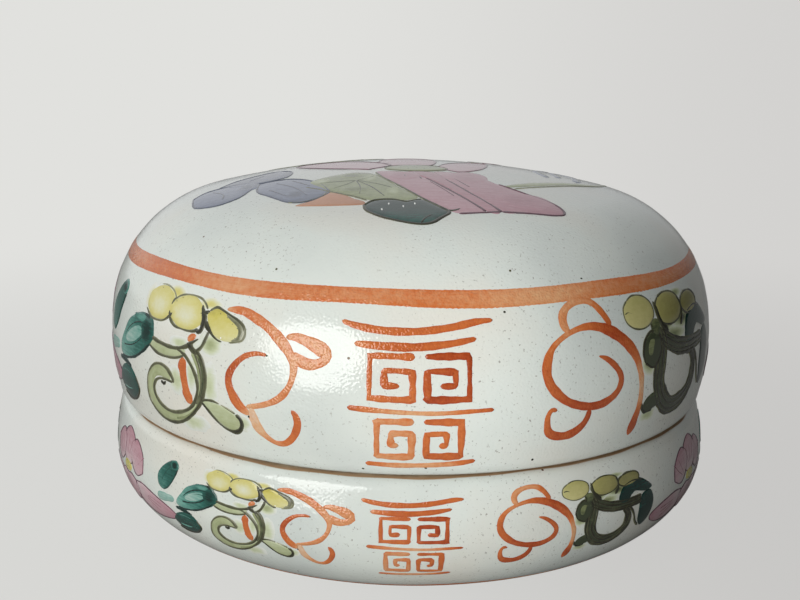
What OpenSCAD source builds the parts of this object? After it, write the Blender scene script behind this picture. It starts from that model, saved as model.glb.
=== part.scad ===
// Round porcelain seal paste box. A domed lid drops over the collar of a shallow base,
// and the base holds a cake of paste.
// The origin is the centre of the foot ring on the table, and +Z is up.

/* [Body] */
// Widest diameter, at the belly of the lid and of the base
box_d = 88; // [76:1:102]
// Height of the base, from the table to the seam
base_h = 18; // [16:0.5:24]
// Height of the lid, from the seam to the top of the crown
lid_h = 32.2; // [29:0.1:37]
// Thickness of the thrown wall, the crown and the floor
wall = 3.8; // [3:0.1:4.6]

/* [Curves of the wall] */
// Height of the lid's belly above the seam, and depth of the base's belly below it
belly_h = 8.5; // [7:0.1:10]
// Radius of the wall's upright curve
side_r = 29; // [25:0.5:34]
// Radius of the lid's shoulder
shoulder_r = 18.4; // [15:0.1:21]
// Radius of the crown
crown_r = 127; // [105:1:150]
// Radius of the curve from the base's wall into its underside
heel_r = 9; // [7.5:0.1:10.5]

/* [Seam] */
// Rounding of the lid's and the base's outer edges at the seam
edge_r = 2; // [1.2:0.1:2.8]
// Width of the bare ledge that the lid's rim rests on
ledge_w = 2.5; // [2:0.1:3.2]
// Height of the collar above the ledge
collar_h = 4.2; // [3:0.1:5.5]
// Thickness of the collar
collar_t = 2.2; // [1.7:0.1:2.8]
// Rounding of the collar's top edges
lip_r = 0.8; // [0.4:0.05:0.85]
// Gap all round between the collar and the lid's bore
lid_gap = 0.35; // [0.2:0.05:0.8]
// How far the lid's straight bore runs on above the collar
bore_over = 1.6; // [1:0.1:2.5]
// Bevel at the foot of the bore, which leads the lid onto the collar
bore_bevel = 0.5; // [0.3:0.05:0.8]

/* [Foot] */
// How far the foot ring stands in from the end of the heel's curve
foot_in = 2; // [0:0.5:6]
// Width of the foot ring
foot_w = 3.4; // [2.6:0.1:4.5]
// Height of the foot ring
foot_h = 1.6; // [1.2:0.1:2.2]
// Bevel trimmed round the foot ring's two lower edges
foot_bevel = 0.6; // [0.3:0.05:0.8]
// Rise of the hollow ground inside the foot ring
hollow_rise = 0.7; // [0.3:0.1:1.2]

/* [Paste] */
// Clear floor between the paste and the foot of the bowl's wall
paste_gap = 5; // [3:0.5:8]
// Height of the cake of paste
paste_h = 8.4; // [6:0.1:10]
// Height of the hand-stirred lumps in the paste
lump_h = 0.45; // [0.2:0.05:0.7]
// Depth of each dimple that a seal's face has left
dimple_h = 1; // [0.5:0.1:1.4]
// Width of each dimple
dimple_w = 11; // [8:0.5:14]

/* [Hidden] */
$fn = 72;

glaze_colour = [0.90, 0.92, 0.90];
paste_colour = [0.78, 0.13, 0.08];

// Outline points on each arc of a profile
side_steps = 6;
shoulder_steps = 8;
crown_steps = 6;
small_steps = 4;
// Facets round the paste, and from its edge to its top
paste_sides = 56;
paste_rings = 14;
// Powers that steepen the paste's edge and flatten its top
paste_side_power = 0.62;
paste_top_power = 0.85;
// Waves in the paste's plan: how many go round, their height as a share of its radius, and where they start
plan_waves = [[3, 0.022, 40], [5, 0.014, -25], [9, 0.008, 0]];
// Waves in its top: how many go round, their share of lump_h, and their twist from the edge to the top
lump_waves = [[4, 1, 300], [7, 0.6, -500]];
// Dimples: their angle, and their distance from the middle as a share of its radius
dimples = [[35, 0.43], [160, 0.3], [265, 0.5]];

function unit_at(a) = [cos(a), sin(a)];
function angle_of(v) = atan2(v[1], v[0]);
function sum(v) = v * [for (x = v) 1];
function arc(centre, r, a0, a1, steps) =
    [for (i = [0:steps]) centre + r * unit_at(a0 + (a1 - a0) * i / steps)];

// Centre of the circle of radius r that touches two larger circles from inside, away from the axis
function touching_both(c1, r1, c2, r2, r) =
    let (d1 = r1 - r, d2 = r2 - r, gap = c2 - c1, d = norm(gap), u = gap / d)
    let (along = (d1 * d1 - d2 * d2 + d * d) / (2 * d))
    c1 + along * u + sqrt(d1 * d1 - along * along) * [u[1], -u[0]];

// Radius from the axis to the centre of a circle of radius r that touches the side circle and a level line.
// rise is how far the side circle's centre is above the small circle's centre.
function touching_level(r, rise) = side_x + sqrt(pow(side_r - r, 2) - rise * rise);

// The side circle's centre is at radius side_x, belly_h above the seam in the lid and below it in the base.
side_x = box_d / 2 - side_r;
side_c = [side_x, belly_h];
crown_c = [0, lid_h - crown_r];
shoulder_c = touching_both(crown_c, crown_r, side_c, side_r, shoulder_r);
shoulder_a0 = angle_of(shoulder_c - side_c);
shoulder_a1 = angle_of(shoulder_c - crown_c);

// The rounded edge at the seam. Its centre is also where the flat rim and the ledge end.
ledge_r = touching_level(edge_r, belly_h - edge_r);
edge_c = [ledge_r, edge_r];
edge_a = angle_of(edge_c - side_c);

collar_r = ledge_r - ledge_w;
mouth_r = collar_r - collar_t;
bore_r = collar_r + lid_gap;
bore_h = collar_h + bore_over;

// The heel, measured from the seam downwards as the lid is measured upwards
heel_c = [touching_level(heel_r, belly_h - (base_h - foot_h - heel_r)), base_h - foot_h - heel_r];
heel_a = angle_of(heel_c - side_c);
foot_r = heel_c[0] - foot_in;
floor_z = foot_h + wall;
paste_r = heel_c[0] - paste_gap;

// Half section of the lid, from its bore round the outside to the crown, and back down the inside
function lid_outside() = concat(
    [[bore_r, bore_bevel], [bore_r + bore_bevel, 0]],
    arc(edge_c, edge_r, -90, edge_a, small_steps),
    arc(side_c, side_r, edge_a, shoulder_a0, side_steps),
    arc(shoulder_c, shoulder_r, shoulder_a0, shoulder_a1, shoulder_steps),
    arc(crown_c, crown_r, shoulder_a1, 90, crown_steps));

function lid_inside() = concat(
    arc(crown_c, crown_r - wall, 90, shoulder_a1, crown_steps),
    arc(shoulder_c, shoulder_r - wall, shoulder_a1, shoulder_a0, shoulder_steps),
    [[bore_r, bore_h]]);

// Half section of the base, in depths below the seam: from the collar's lip, round the outside to the heel
function base_outside() = concat(
    arc([mouth_r + lip_r, lip_r - collar_h], lip_r, 180, 270, small_steps),
    arc([collar_r - lip_r, lip_r - collar_h], lip_r, 270, 360, small_steps),
    [[collar_r, 0]],
    arc(edge_c, edge_r, -90, edge_a, small_steps),
    arc(side_c, side_r, edge_a, heel_a, side_steps),
    arc(heel_c, heel_r, heel_a, 90, small_steps));

function foot_ring() = [
    [foot_r, base_h - foot_h],
    [foot_r, base_h - foot_bevel],
    [foot_r - foot_bevel, base_h],
    [foot_r - foot_w + foot_bevel, base_h],
    [foot_r - foot_w, base_h - foot_bevel],
    [foot_r - foot_w, base_h - foot_h],
    [0, base_h - foot_h - hollow_rise]];

// The inside turns up at the heel and then leans in to the foot of the collar
function bowl_inside() = concat(
    [[0, base_h - floor_z]],
    arc(heel_c, heel_r - wall, 90, heel_a, small_steps),
    [[mouth_r, 0]]);

function without_repeats(points) =
    [for (i = [0:len(points) - 1]) if (i == 0 || norm(points[i] - points[i - 1]) > 0.001) points[i]];

module revolved(points) {
    rotate_extrude() polygon(without_repeats(points));
}

module base() {
    color(glaze_colour)
        translate([0, 0, base_h])
            mirror([0, 0, 1])
                revolved(concat(base_outside(), foot_ring(), bowl_inside()));
}

module lid() {
    color(glaze_colour)
        translate([0, 0, base_h])
            revolved(concat(lid_outside(), lid_inside()));
}

// The cake's plan is a circle that slow waves push in and out
function paste_plan(a) =
    paste_r * (1 + sum([for (w = plan_waves) w[1] * sin(w[0] * a + w[2])]));

// Lumps rise from nothing at the edge and fade at the middle, where the cake was patted level
function lumps(a, rise) =
    lump_h * sin(180 * rise) * sum([for (w = lump_waves) w[1] * sin(w[0] * a + w[2] * rise)]);

// Depth of the nearest dimple at a point of the plan. Each is a smooth bell upside down.
function dimple_depth(p) =
    dimple_h * max([for (d = dimples)
        let (away = norm(p - paste_r * d[1] * unit_at(d[0])))
        exp(-pow(2 * away / dimple_w, 2))]);

// A point of the cake at angle a, with rise from 0 at its edge to 1 at its top
function paste_point(a, rise) =
    let (p = paste_plan(a) * pow(cos(90 * rise), paste_side_power) * unit_at(a))
    let (h = pow(sin(90 * rise), paste_top_power))
    [p[0], p[1], floor_z + (paste_h - dimple_depth(p)) * h + lumps(a, rise)];

module seal_paste() {
    rings = [for (j = [0:paste_rings - 1], i = [0:paste_sides - 1])
        paste_point(360 * i / paste_sides, j / paste_rings)];
    top = len(rings);
    underside = [for (i = [0:paste_sides - 1]) i];
    sides = [for (j = [0:paste_rings - 2], i = [0:paste_sides - 1])
        let (a = j * paste_sides + i, b = j * paste_sides + (i + 1) % paste_sides)
        each [[a + paste_sides, b, a], [a + paste_sides, b + paste_sides, b]]];
    cap = [for (i = [0:paste_sides - 1])
        let (last_ring = top - paste_sides)
        [top, last_ring + (i + 1) % paste_sides, last_ring + i]];
    color(paste_colour)
        polyhedron(concat(rings, [paste_point(0, 1)]), concat([underside], sides, cap));
}

base();
seal_paste();
lid();
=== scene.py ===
import math

import bpy
import numpy as np
from mathutils import Matrix


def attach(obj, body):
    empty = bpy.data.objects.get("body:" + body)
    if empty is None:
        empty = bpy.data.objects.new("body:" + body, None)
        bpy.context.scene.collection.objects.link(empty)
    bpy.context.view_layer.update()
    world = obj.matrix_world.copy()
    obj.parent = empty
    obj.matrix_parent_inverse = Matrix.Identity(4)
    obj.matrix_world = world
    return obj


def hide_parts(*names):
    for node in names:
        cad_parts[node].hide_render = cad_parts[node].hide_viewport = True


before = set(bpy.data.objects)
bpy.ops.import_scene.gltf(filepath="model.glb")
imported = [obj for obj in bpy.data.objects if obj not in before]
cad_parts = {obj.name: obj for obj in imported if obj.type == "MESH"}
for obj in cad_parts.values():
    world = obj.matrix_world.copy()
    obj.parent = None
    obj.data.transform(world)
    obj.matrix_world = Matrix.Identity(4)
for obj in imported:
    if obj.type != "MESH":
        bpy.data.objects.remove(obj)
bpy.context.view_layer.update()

mm = 0.001  # sizes below are in millimetres, and meshes are in metres


# shapes

def linear(hexColour):
    # sRGB hex to the linear colour that a shader works in
    channels = [int(hexColour[i:i + 2], 16) / 255 for i in (1, 3, 5)]
    return [c / 12.92 if c <= 0.04045 else ((c + 0.055) / 1.055) ** 2.4 for c in channels] + [1.0]


def smoothStep(x, start, end):
    # 0 before start, 1 after end, and 3t^2 - 2t^3 between
    t = np.clip((x - start) / (end - start), 0, 1)
    return t * t * (3 - 2 * t)


def arcPoints(centre, radius, start, end, spacing=0.4):
    # points on a circle from one angle to another, spacing millimetres apart
    count = max(3, int(abs(math.radians(end - start)) * radius / spacing) + 1)
    angle = np.radians(np.linspace(start, end, count))
    return np.column_stack([centre[0] + radius * np.cos(angle), centre[1] + radius * np.sin(angle)])


def straightPoints(corners, spacing=0.5):
    # points along straight runs from corner to corner, closer together beside each corner
    rows = []
    for a, b in zip(corners[:-1], corners[1:]):
        a, b = np.array(a, float), np.array(b, float)
        length = np.linalg.norm(b - a)
        near = min(0.06, length / 4) / length
        share = np.unique(np.concatenate([[near, 1 - near], np.linspace(0, 1, int(length / spacing) + 2)]))
        rows.append(a + (b - a) * share[:, None])
    return np.vstack(rows)


def withoutRepeats(line):
    # drops each point that lies on the one before it
    keep = np.concatenate([[True], np.linalg.norm(np.diff(line, axis=0), axis=1) > 1e-4])
    return line[keep]


def smoothPath(points, count, closed=False):
    # Catmull-Rom: each stretch is a cubic whose slope at a point is half the step between its neighbours
    p = np.array(points, float)
    if closed:
        p = np.vstack([p[-1], p, p[0], p[1]])
    else:
        p = np.vstack([2 * p[0] - p[1], p, 2 * p[-1] - p[-2]])
    t = np.linspace(0, len(p) - 3, count, endpoint=not closed)
    i = np.minimum(t.astype(int), len(p) - 4)
    f = (t - i)[:, None]
    a, b, c, d = p[i], p[i + 1], p[i + 2], p[i + 3]
    return 0.5 * (2 * b + (c - a) * f + (2 * a - 5 * b + 4 * c - d) * f**2 + (3 * b - a - 3 * c + d) * f**3)


def closedSkin(rings, first, last, **marks):
    # rings[i, j] is point j of ring i. Quads join ring to ring, and a fan closes each end on one point.
    rows, columns = rings.shape[:2]
    here = np.arange(rows * columns).reshape(rows, columns)
    beside = np.roll(here, -1, axis=1)
    quads = np.stack([here[:-1], beside[:-1], beside[1:], here[1:]], axis=-1).reshape(-1, 4)
    tip, end = np.full(columns, rows * columns), np.full(columns, rows * columns + 1)
    fans = np.vstack([np.column_stack([tip, beside[0], here[0]]),
                      np.column_stack([end, here[-1], beside[-1]])])
    points = np.vstack([rings.reshape(-1, 3), [first], [last]])
    corners = np.vstack([quads[:, [0, 1, 2]], quads[:, [0, 2, 3]], fans])
    a, b, c = points[corners[:, 0]], points[corners[:, 1]], points[corners[:, 2]]
    if np.einsum("ij,ij->i", a, np.cross(b, c)).sum() < 0:  # six times the volume, negative when inside out
        quads, fans = quads[:, ::-1], fans[:, ::-1]
    skin = {"points": points, "quads": quads, "fans": fans}
    for name, value in marks.items():
        flat = value.reshape(rows * columns, -1)
        skin[name] = np.vstack([flat, value[0].reshape(columns, -1).mean(0),
                                value[-1].reshape(columns, -1).mean(0)])
    return skin


def makePiece(name, skins, material, body, sharpAngle=40):
    # joins closed skins into one mesh in metres, which rides on a body of the frame
    starts = np.cumsum([0] + [len(s["points"]) for s in skins[:-1]])
    points = np.vstack([s["points"] for s in skins]) * mm
    quads = np.vstack([s["quads"] + start for s, start in zip(skins, starts)])
    fans = np.vstack([s["fans"] + start for s, start in zip(skins, starts)])
    mesh = bpy.data.meshes.new(name)
    mesh.vertices.add(len(points))
    mesh.vertices.foreach_set("co", points.astype(np.float32).ravel())
    mesh.loops.add(quads.size + fans.size)
    mesh.loops.foreach_set("vertex_index", np.concatenate([quads.ravel(), fans.ravel()]).astype(np.int32))
    mesh.polygons.add(len(quads) + len(fans))
    firstLoop = np.concatenate([np.arange(len(quads)) * 4, quads.size + np.arange(len(fans)) * 3])
    mesh.polygons.foreach_set("loop_start", firstLoop.astype(np.int32))
    mesh.update(calc_edges=True)
    mesh.validate()
    for mark, kind in (("wash", "FLOAT"), ("bare", "FLOAT"), ("brush", "FLOAT_VECTOR")):
        if mark in skins[0]:
            values = np.vstack([s[mark] for s in skins]).astype(np.float32).ravel()
            attribute = mesh.attributes.new(mark, kind, "POINT")
            attribute.data.foreach_set("vector" if kind == "FLOAT_VECTOR" else "value", values)
    mesh.shade_smooth()
    mesh.set_sharp_from_angle(angle=math.radians(sharpAngle))
    mesh.materials.append(material)
    piece = bpy.data.objects.new(name, mesh)
    bpy.context.scene.collection.objects.link(piece)
    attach(piece, body)
    return piece


# materials

def perMetre(size):
    # the scale of a texture whose pattern is this many millimetres across
    return 1000 / size


def node(tree, kind, inputs=None, stops=None, **settings):
    # adds a node, sets it, and links or fills its inputs
    made = tree.nodes.new(kind)
    for key, value in settings.items():
        setattr(made, key, value)
    for key, value in (inputs or {}).items():
        if isinstance(value, bpy.types.NodeSocket):
            tree.links.new(value, made.inputs[key])
        else:
            made.inputs[key].default_value = value
    for i, (place, colour) in enumerate(stops or []):
        element = made.color_ramp.elements[i] if i < 2 else made.color_ramp.elements.new(place)
        element.position = place
        element.color = linear(colour)
    return made


def newMaterial(name):
    # an empty material with a shader on its output
    material = bpy.data.materials.new(name)
    material.use_nodes = True
    tree = material.node_tree
    tree.nodes.clear()
    shader = node(tree, "ShaderNodeBsdfPrincipled")
    node(tree, "ShaderNodeOutputMaterial", {"Surface": shader.outputs["BSDF"]})
    return material, tree, shader


glaze = {
    "colour": "#d9dfd9",       # clear glaze over fine white porcelain, faintly green
    "pooled": "#cdd4d0",       # bluer where the glaze lies thicker
    "warm": "#dedcd2",         # a trace of cream where it is thin
    "speck": "#5c4228",        # iron specks in the clay
    "pepper": "#8f8d84",       # fine ash grains under the glaze
    "roughness": 0.045,
    "ior": 1.57,
    "poolSize": 22.0,          # mm across a cloud of thicker glaze
    "speckSpacing": 3.2,       # mm between places where a speck may be
    "speckShare": 0.14,        # how many of those places have one
    "pepperSize": 0.34,        # mm across a grain, coarser than the real dust so that it shows
    "pepperPatch": 16.0,       # mm across a patch of grains
    "peelSize": 0.3,           # mm across a bump of the orange peel skin, finer than the real one's 0.5 to 1
    "peelHeight": 0.025,       # mm
}

bareClay = {
    "colour": "#b5a98f",       # unglazed rim, rubbed and grey-brown with handling
    "dirt": "#8a7c62",
    "flash": "#a07b56",        # orange line where the glaze ends
    "roughness": 0.72,
    "grainSize": 0.35,         # mm across a grain of the fired clay
    "grainHeight": 0.6,        # as a share of the glaze's peelHeight
    "blotchSize": 2.4,         # mm across a rubbed or dirty patch
    "flashWidth": 0.7,         # mm
}


def porcelain():
    # Hard white porcelain, wheel thrown, with a glossy clear glaze. The eye sees clear reflections on a pale
    # grey-green white with a few brown specks, and dull buff clay at the rims that were wiped clean of glaze.
    material, tree, shader = newMaterial("GlazedPorcelain")
    place = node(tree, "ShaderNodeTexCoord").outputs["Object"]
    bare = node(tree, "ShaderNodeAttribute", attribute_name="bare").outputs["Fac"]
    pools = node(tree, "ShaderNodeTexNoise", {"Vector": place, "Scale": perMetre(glaze["poolSize"]),
                                              "Detail": 4.0})
    glazed = node(tree, "ShaderNodeValToRGB", {"Fac": pools.outputs["Fac"]},
                  stops=[(0.30, glaze["pooled"]), (0.5, glaze["colour"]), (0.72, glaze["warm"])])
    cells = node(tree, "ShaderNodeTexVoronoi", {"Vector": place, "Scale": perMetre(glaze["speckSpacing"])})
    few = node(tree, "ShaderNodeSeparateColor", {"Color": cells.outputs["Color"]})
    chosen = node(tree, "ShaderNodeMath", {0: few.outputs["Red"], 1: 1 - glaze["speckShare"]},
                  operation="GREATER_THAN")
    speckSize = node(tree, "ShaderNodeMapRange", {"Value": few.outputs["Green"], "To Min": 0.03,
                                                  "To Max": 0.075})
    speckEdge = node(tree, "ShaderNodeMath", {0: speckSize.outputs["Result"], 1: cells.outputs["Distance"]},
                     operation="SUBTRACT")
    speckDot = node(tree, "ShaderNodeMapRange", {"Value": speckEdge.outputs[0], "From Min": 0.0,
                                                 "From Max": 0.015})
    speck = node(tree, "ShaderNodeMath", {0: speckDot.outputs["Result"], 1: chosen.outputs[0]},
                 operation="MULTIPLY")
    grains = node(tree, "ShaderNodeTexNoise", {"Vector": place, "Scale": perMetre(glaze["pepperSize"]),
                                               "Detail": 3.0, "Roughness": 0.6})
    grainDot = node(tree, "ShaderNodeMapRange", {"Value": grains.outputs["Fac"], "From Min": 0.63,
                                                 "From Max": 0.7, "To Min": 0.0, "To Max": 0.85})
    patches = node(tree, "ShaderNodeTexNoise", {"Vector": place, "Scale": perMetre(glaze["pepperPatch"]),
                                                "Detail": 2.0})
    patchy = node(tree, "ShaderNodeMapRange", {"Value": patches.outputs["Fac"], "From Min": 0.34,
                                               "From Max": 0.54})
    pepper = node(tree, "ShaderNodeMath", {0: grainDot.outputs["Result"], 1: patchy.outputs["Result"]},
                  operation="MULTIPLY")
    withPepper = node(tree, "ShaderNodeMix", {0: pepper.outputs[0], 6: glazed.outputs["Color"],
                                              7: linear(glaze["pepper"])}, data_type="RGBA")
    withSpecks = node(tree, "ShaderNodeMix", {0: speck.outputs[0], 6: withPepper.outputs[2],
                                              7: linear(glaze["speck"])}, data_type="RGBA")
    blotches = node(tree, "ShaderNodeTexNoise", {"Vector": place, "Scale": perMetre(bareClay["blotchSize"]),
                                                 "Detail": 6.0, "Roughness": 0.7})
    clay = node(tree, "ShaderNodeValToRGB", {"Fac": blotches.outputs["Fac"]},
                stops=[(0.34, bareClay["dirt"]), (0.66, bareClay["colour"])])
    # bare is the distance in millimetres past the edge of the glaze
    flashing = node(tree, "ShaderNodeMapRange", {"Value": bare, "From Min": 0.0,
                                                 "From Max": bareClay["flashWidth"], "To Min": 1.0,
                                                 "To Max": 0.0})
    clayFlashed = node(tree, "ShaderNodeMix", {0: flashing.outputs["Result"], 6: clay.outputs["Color"],
                                               7: linear(bareClay["flash"])}, data_type="RGBA")
    isBare = node(tree, "ShaderNodeMapRange", {"Value": bare, "From Min": -0.06, "From Max": 0.06})
    colour = node(tree, "ShaderNodeMix", {0: isBare.outputs["Result"], 6: withSpecks.outputs[2],
                                          7: clayFlashed.outputs[2]}, data_type="RGBA")
    roughness = node(tree, "ShaderNodeMapRange", {"Value": bare, "From Min": -0.06, "From Max": 0.06,
                                                  "To Min": glaze["roughness"],
                                                  "To Max": bareClay["roughness"]})
    peel = node(tree, "ShaderNodeTexNoise", {"Vector": place, "Scale": perMetre(glaze["peelSize"]),
                                             "Detail": 0.0})
    clayGrain = node(tree, "ShaderNodeTexNoise", {"Vector": place, "Scale": perMetre(bareClay["grainSize"]),
                                                  "Detail": 4.0})
    skinHeight = node(tree, "ShaderNodeMix", {0: isBare.outputs["Result"], 2: peel.outputs["Fac"],
                                              3: clayGrain.outputs["Fac"]})
    depth = node(tree, "ShaderNodeMapRange", {"Value": isBare.outputs["Result"], "To Min": 1.0,
                                              "To Max": bareClay["grainHeight"]})
    bump = node(tree, "ShaderNodeBump", {"Height": skinHeight.outputs[0], "Strength": depth.outputs["Result"],
                                         "Distance": glaze["peelHeight"] * mm})
    tree.links.new(colour.outputs[2], shader.inputs["Base Color"])
    tree.links.new(roughness.outputs["Result"], shader.inputs["Roughness"])
    tree.links.new(bump.outputs["Normal"], shader.inputs["Normal"])
    shader.inputs["IOR"].default_value = glaze["ior"]
    return material


enamelSkin = {
    "ior": 1.52,               # a soft lead glass
    "mottleSize": 0.7,         # mm across a thicker or thinner patch of pigment
    "gritSize": 0.24,          # mm across a grain, coarser than the ground pigment so that it shows
    "hairs": (0.35, 4.5, 1.0),  # streaks to the millimetre along and across the brush's way
}


def enamel(name, stops, roughness, streak=0.35, grain=0.25, lift=0.012):
    # An overglaze pigment under its own thin glass. "wash" is how thickly it was laid, "brush" runs along and
    # across the stroke in millimetres, so that the hairs of the brush leave streaks along it.
    material, tree, shader = newMaterial(name)
    place = node(tree, "ShaderNodeTexCoord").outputs["Object"]
    wash = node(tree, "ShaderNodeAttribute", attribute_name="wash").outputs["Fac"]
    brush = node(tree, "ShaderNodeAttribute", attribute_name="brush").outputs["Vector"]
    hairs = node(tree, "ShaderNodeMapping", {"Vector": brush, "Scale": enamelSkin["hairs"]})
    streaks = node(tree, "ShaderNodeTexNoise", {"Vector": hairs.outputs["Vector"], "Scale": 1.0,
                                                "Detail": 3.0})
    mottle = node(tree, "ShaderNodeTexNoise", {"Vector": place, "Scale": perMetre(enamelSkin["mottleSize"]),
                                               "Detail": 5.0, "Roughness": 0.6})
    uneven = node(tree, "ShaderNodeMath", {0: streaks.outputs["Fac"], 1: streak}, operation="MULTIPLY")
    grainy = node(tree, "ShaderNodeMath", {0: mottle.outputs["Fac"], 1: grain}, operation="MULTIPLY")
    both = node(tree, "ShaderNodeMath", {0: uneven.outputs[0], 1: grainy.outputs[0]}, operation="ADD")
    thick = node(tree, "ShaderNodeMath", {0: wash, 1: both.outputs[0]}, operation="ADD")
    even = node(tree, "ShaderNodeMath", {0: thick.outputs[0], 1: (streak + grain) / 2}, operation="SUBTRACT")
    colour = node(tree, "ShaderNodeValToRGB", {"Fac": even.outputs[0]}, stops=stops)
    grit = node(tree, "ShaderNodeTexNoise", {"Vector": place, "Scale": perMetre(enamelSkin["gritSize"]),
                                             "Detail": 0.0})
    bump = node(tree, "ShaderNodeBump", {"Height": grit.outputs["Fac"], "Strength": 1.0,
                                         "Distance": lift * mm})
    tree.links.new(colour.outputs["Color"], shader.inputs["Base Color"])
    tree.links.new(bump.outputs["Normal"], shader.inputs["Normal"])
    shader.inputs["Roughness"].default_value = roughness
    shader.inputs["IOR"].default_value = enamelSkin["ior"]
    return material


pasteSkin = {
    "deep": "#7d120c",         # the oily hollows
    "colour": "#b81d12",
    "dry": "#cf3320",          # the drier crests
    "ior": 1.48,
    "clodSize": 2.2,           # mm across a clod
    "flossSize": 0.5,          # mm across a tuft of floss
    "flossHeight": 0.12,       # mm
}


def sealPaste():
    # Vermilion ground in oil and worked into plant floss. The eye sees a heavy matt red with an oily sheen
    # and short fibres.
    material, tree, shader = newMaterial("VermilionPaste")
    place = node(tree, "ShaderNodeTexCoord").outputs["Object"]
    clods = node(tree, "ShaderNodeTexNoise", {"Vector": place, "Scale": perMetre(pasteSkin["clodSize"]),
                                              "Detail": 6.0, "Roughness": 0.7})
    colour = node(tree, "ShaderNodeValToRGB", {"Fac": clods.outputs["Fac"]},
                  stops=[(0.30, pasteSkin["deep"]), (0.5, pasteSkin["colour"]), (0.72, pasteSkin["dry"])])
    fibres = node(tree, "ShaderNodeTexNoise", {"Vector": place, "Scale": perMetre(pasteSkin["flossSize"]),
                                               "Detail": 5.0, "Distortion": 2.5})
    oily = node(tree, "ShaderNodeMapRange", {"Value": clods.outputs["Fac"], "From Min": 0.3, "From Max": 0.7,
                                             "To Min": 0.34, "To Max": 0.62})
    bump = node(tree, "ShaderNodeBump", {"Height": fibres.outputs["Fac"], "Strength": 0.8,
                                         "Distance": pasteSkin["flossHeight"] * mm})
    tree.links.new(colour.outputs["Color"], shader.inputs["Base Color"])
    tree.links.new(oily.outputs["Result"], shader.inputs["Roughness"])
    tree.links.new(bump.outputs["Normal"], shader.inputs["Normal"])
    shader.inputs["IOR"].default_value = pasteSkin["ior"]
    return material


whiteGlaze = porcelain()
redPaste = sealPaste()
# each enamel from its thinnest wash to its thickest
colours = {
    "ironRed": enamel("IronRedEnamel", [(0.0, "#dccbb8"), (0.28, "#d6a377"), (0.52, "#c8703c"),
                                        (0.78, "#a74a26"), (1.0, "#7a2e17")], 0.1, streak=0.16, grain=0.34,
                      lift=0.075),
    "yellow": enamel("YellowEnamel", [(0.0, "#dcdfda"), (0.25, "#d6d5b2"), (0.5, "#d1cb8c"), (0.8, "#c6bc60"),
                                      (1.0, "#aa9f48")], 0.12, streak=0.12, grain=0.34),
    # the right-hand peaches' yellow, partly olive and partly darkened as painted shade
    "olive": enamel("OliveYellowAndShadeEnamel", [(0.0, "#cdc78d"), (0.5, "#aaa566"), (1.0, "#7d7a50")], 0.12,
                    streak=0.15, grain=0.34),
    "green": enamel("LeafGreenEnamel", [(0.0, "#dcdfda"), (0.3, "#c5cdac"), (0.6, "#a2aa81"),
                                        (0.85, "#757d54"), (1.0, "#3f4634")], 0.12, streak=0.2, grain=0.25),
    "teal": enamel("TealEnamel", [(0.0, "#d6dcd8"), (0.25, "#a6c0b7"), (0.5, "#669d91"), (0.75, "#2b645a"),
                                  (1.0, "#112f2a")], 0.12, streak=0.35, grain=0.2),
    "blue": enamel("VioletBlueEnamel", [(0.0, "#d3d6da"), (0.35, "#a3a9b6"), (0.7, "#778096"),
                                        (1.0, "#4b5263")], 0.14, streak=0.3, grain=0.25),
    "rose": enamel("RoseEnamel", [(0.0, "#dcd8d7"), (0.3, "#cbaab1"), (0.6, "#b2838e"), (0.85, "#93606e"),
                                  (1.0, "#5b3f4a")], 0.14, streak=0.3, grain=0.2),
    "salmon": enamel("SalmonEnamel", [(0.0, "#d9d3c8"), (0.5, "#c68f6c"), (1.0, "#a0643f")], 0.2, streak=0.3,
                     grain=0.25),
    # white for painted highlights on the right peach and the teal pad
    "white": enamel("PaintedHighlightWhite", [(0.0, "#dfe2dd"), (1.0, "#f0f1ec")], 0.12, streak=0.1, grain=0.1),
    "outline": enamel("ManganeseOutline", [(0.0, "#b9ba9f"), (0.35, "#8a8b70"), (0.65, "#5d5e46"),
                                           (1.0, "#2f2f24")], 0.2, streak=0.4, grain=0.5),
}
print("materials made")


# porcelain

box = {
    "width": 88.0, "baseHeight": 18.0, "lidHeight": 32.2, "wall": 3.8,
    "bellyHeight": 8.5, "sideRadius": 29.0, "shoulderRadius": 18.4, "crownRadius": 127.0, "heelRadius": 9.0,
    "edgeRadius": 2.0, "ledgeWidth": 2.5, "collarHeight": 4.2, "collarThickness": 2.2, "lipRadius": 0.8,
    "lidGap": 0.35, "boreOver": 1.6, "boreBevel": 0.5,
    "footIn": 2.0, "footWidth": 3.4, "footHeight": 1.6, "footBevel": 0.6, "hollowRise": 0.7,
    "around": 352,        # points round a pot
    "glazeStop": -62,     # degrees round the rounded edge at the seam, where the glaze was wiped off
}


def directionOf(v):
    # the angle of a vector in degrees
    return math.degrees(math.atan2(v[1], v[0]))


def levelTouch(radius, rise):
    # distance from the axis of a small circle that touches the side circle and a level line
    return sideX + math.sqrt((box["sideRadius"] - radius) ** 2 - rise**2)


# the same tangent circles as the part's source: side, shoulder and crown, and the small ones at seam and heel
sideX = box["width"] / 2 - box["sideRadius"]
sideC = np.array([sideX, box["bellyHeight"]])
crownC = np.array([0, box["lidHeight"] - box["crownRadius"]])
reach1, reach2 = box["crownRadius"] - box["shoulderRadius"], box["sideRadius"] - box["shoulderRadius"]
gap = sideC - crownC
apart = np.linalg.norm(gap)
along = (reach1**2 - reach2**2 + apart**2) / (2 * apart)
sideways = math.sqrt(reach1**2 - along**2) * np.array([gap[1], -gap[0]]) / apart
shoulderC = crownC + along * gap / apart + sideways
shoulderLow, shoulderHigh = directionOf(shoulderC - sideC), directionOf(shoulderC - crownC)
ledgeR = levelTouch(box["edgeRadius"], box["bellyHeight"] - box["edgeRadius"])
edgeC = np.array([ledgeR, box["edgeRadius"]])
edgeA = directionOf(edgeC - sideC)
glazeStopA = math.radians(box["glazeStop"])
glazeStop = edgeC + box["edgeRadius"] * np.array([math.cos(glazeStopA), math.sin(glazeStopA)])
collarR = ledgeR - box["ledgeWidth"]
mouthR = collarR - box["collarThickness"]
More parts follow.
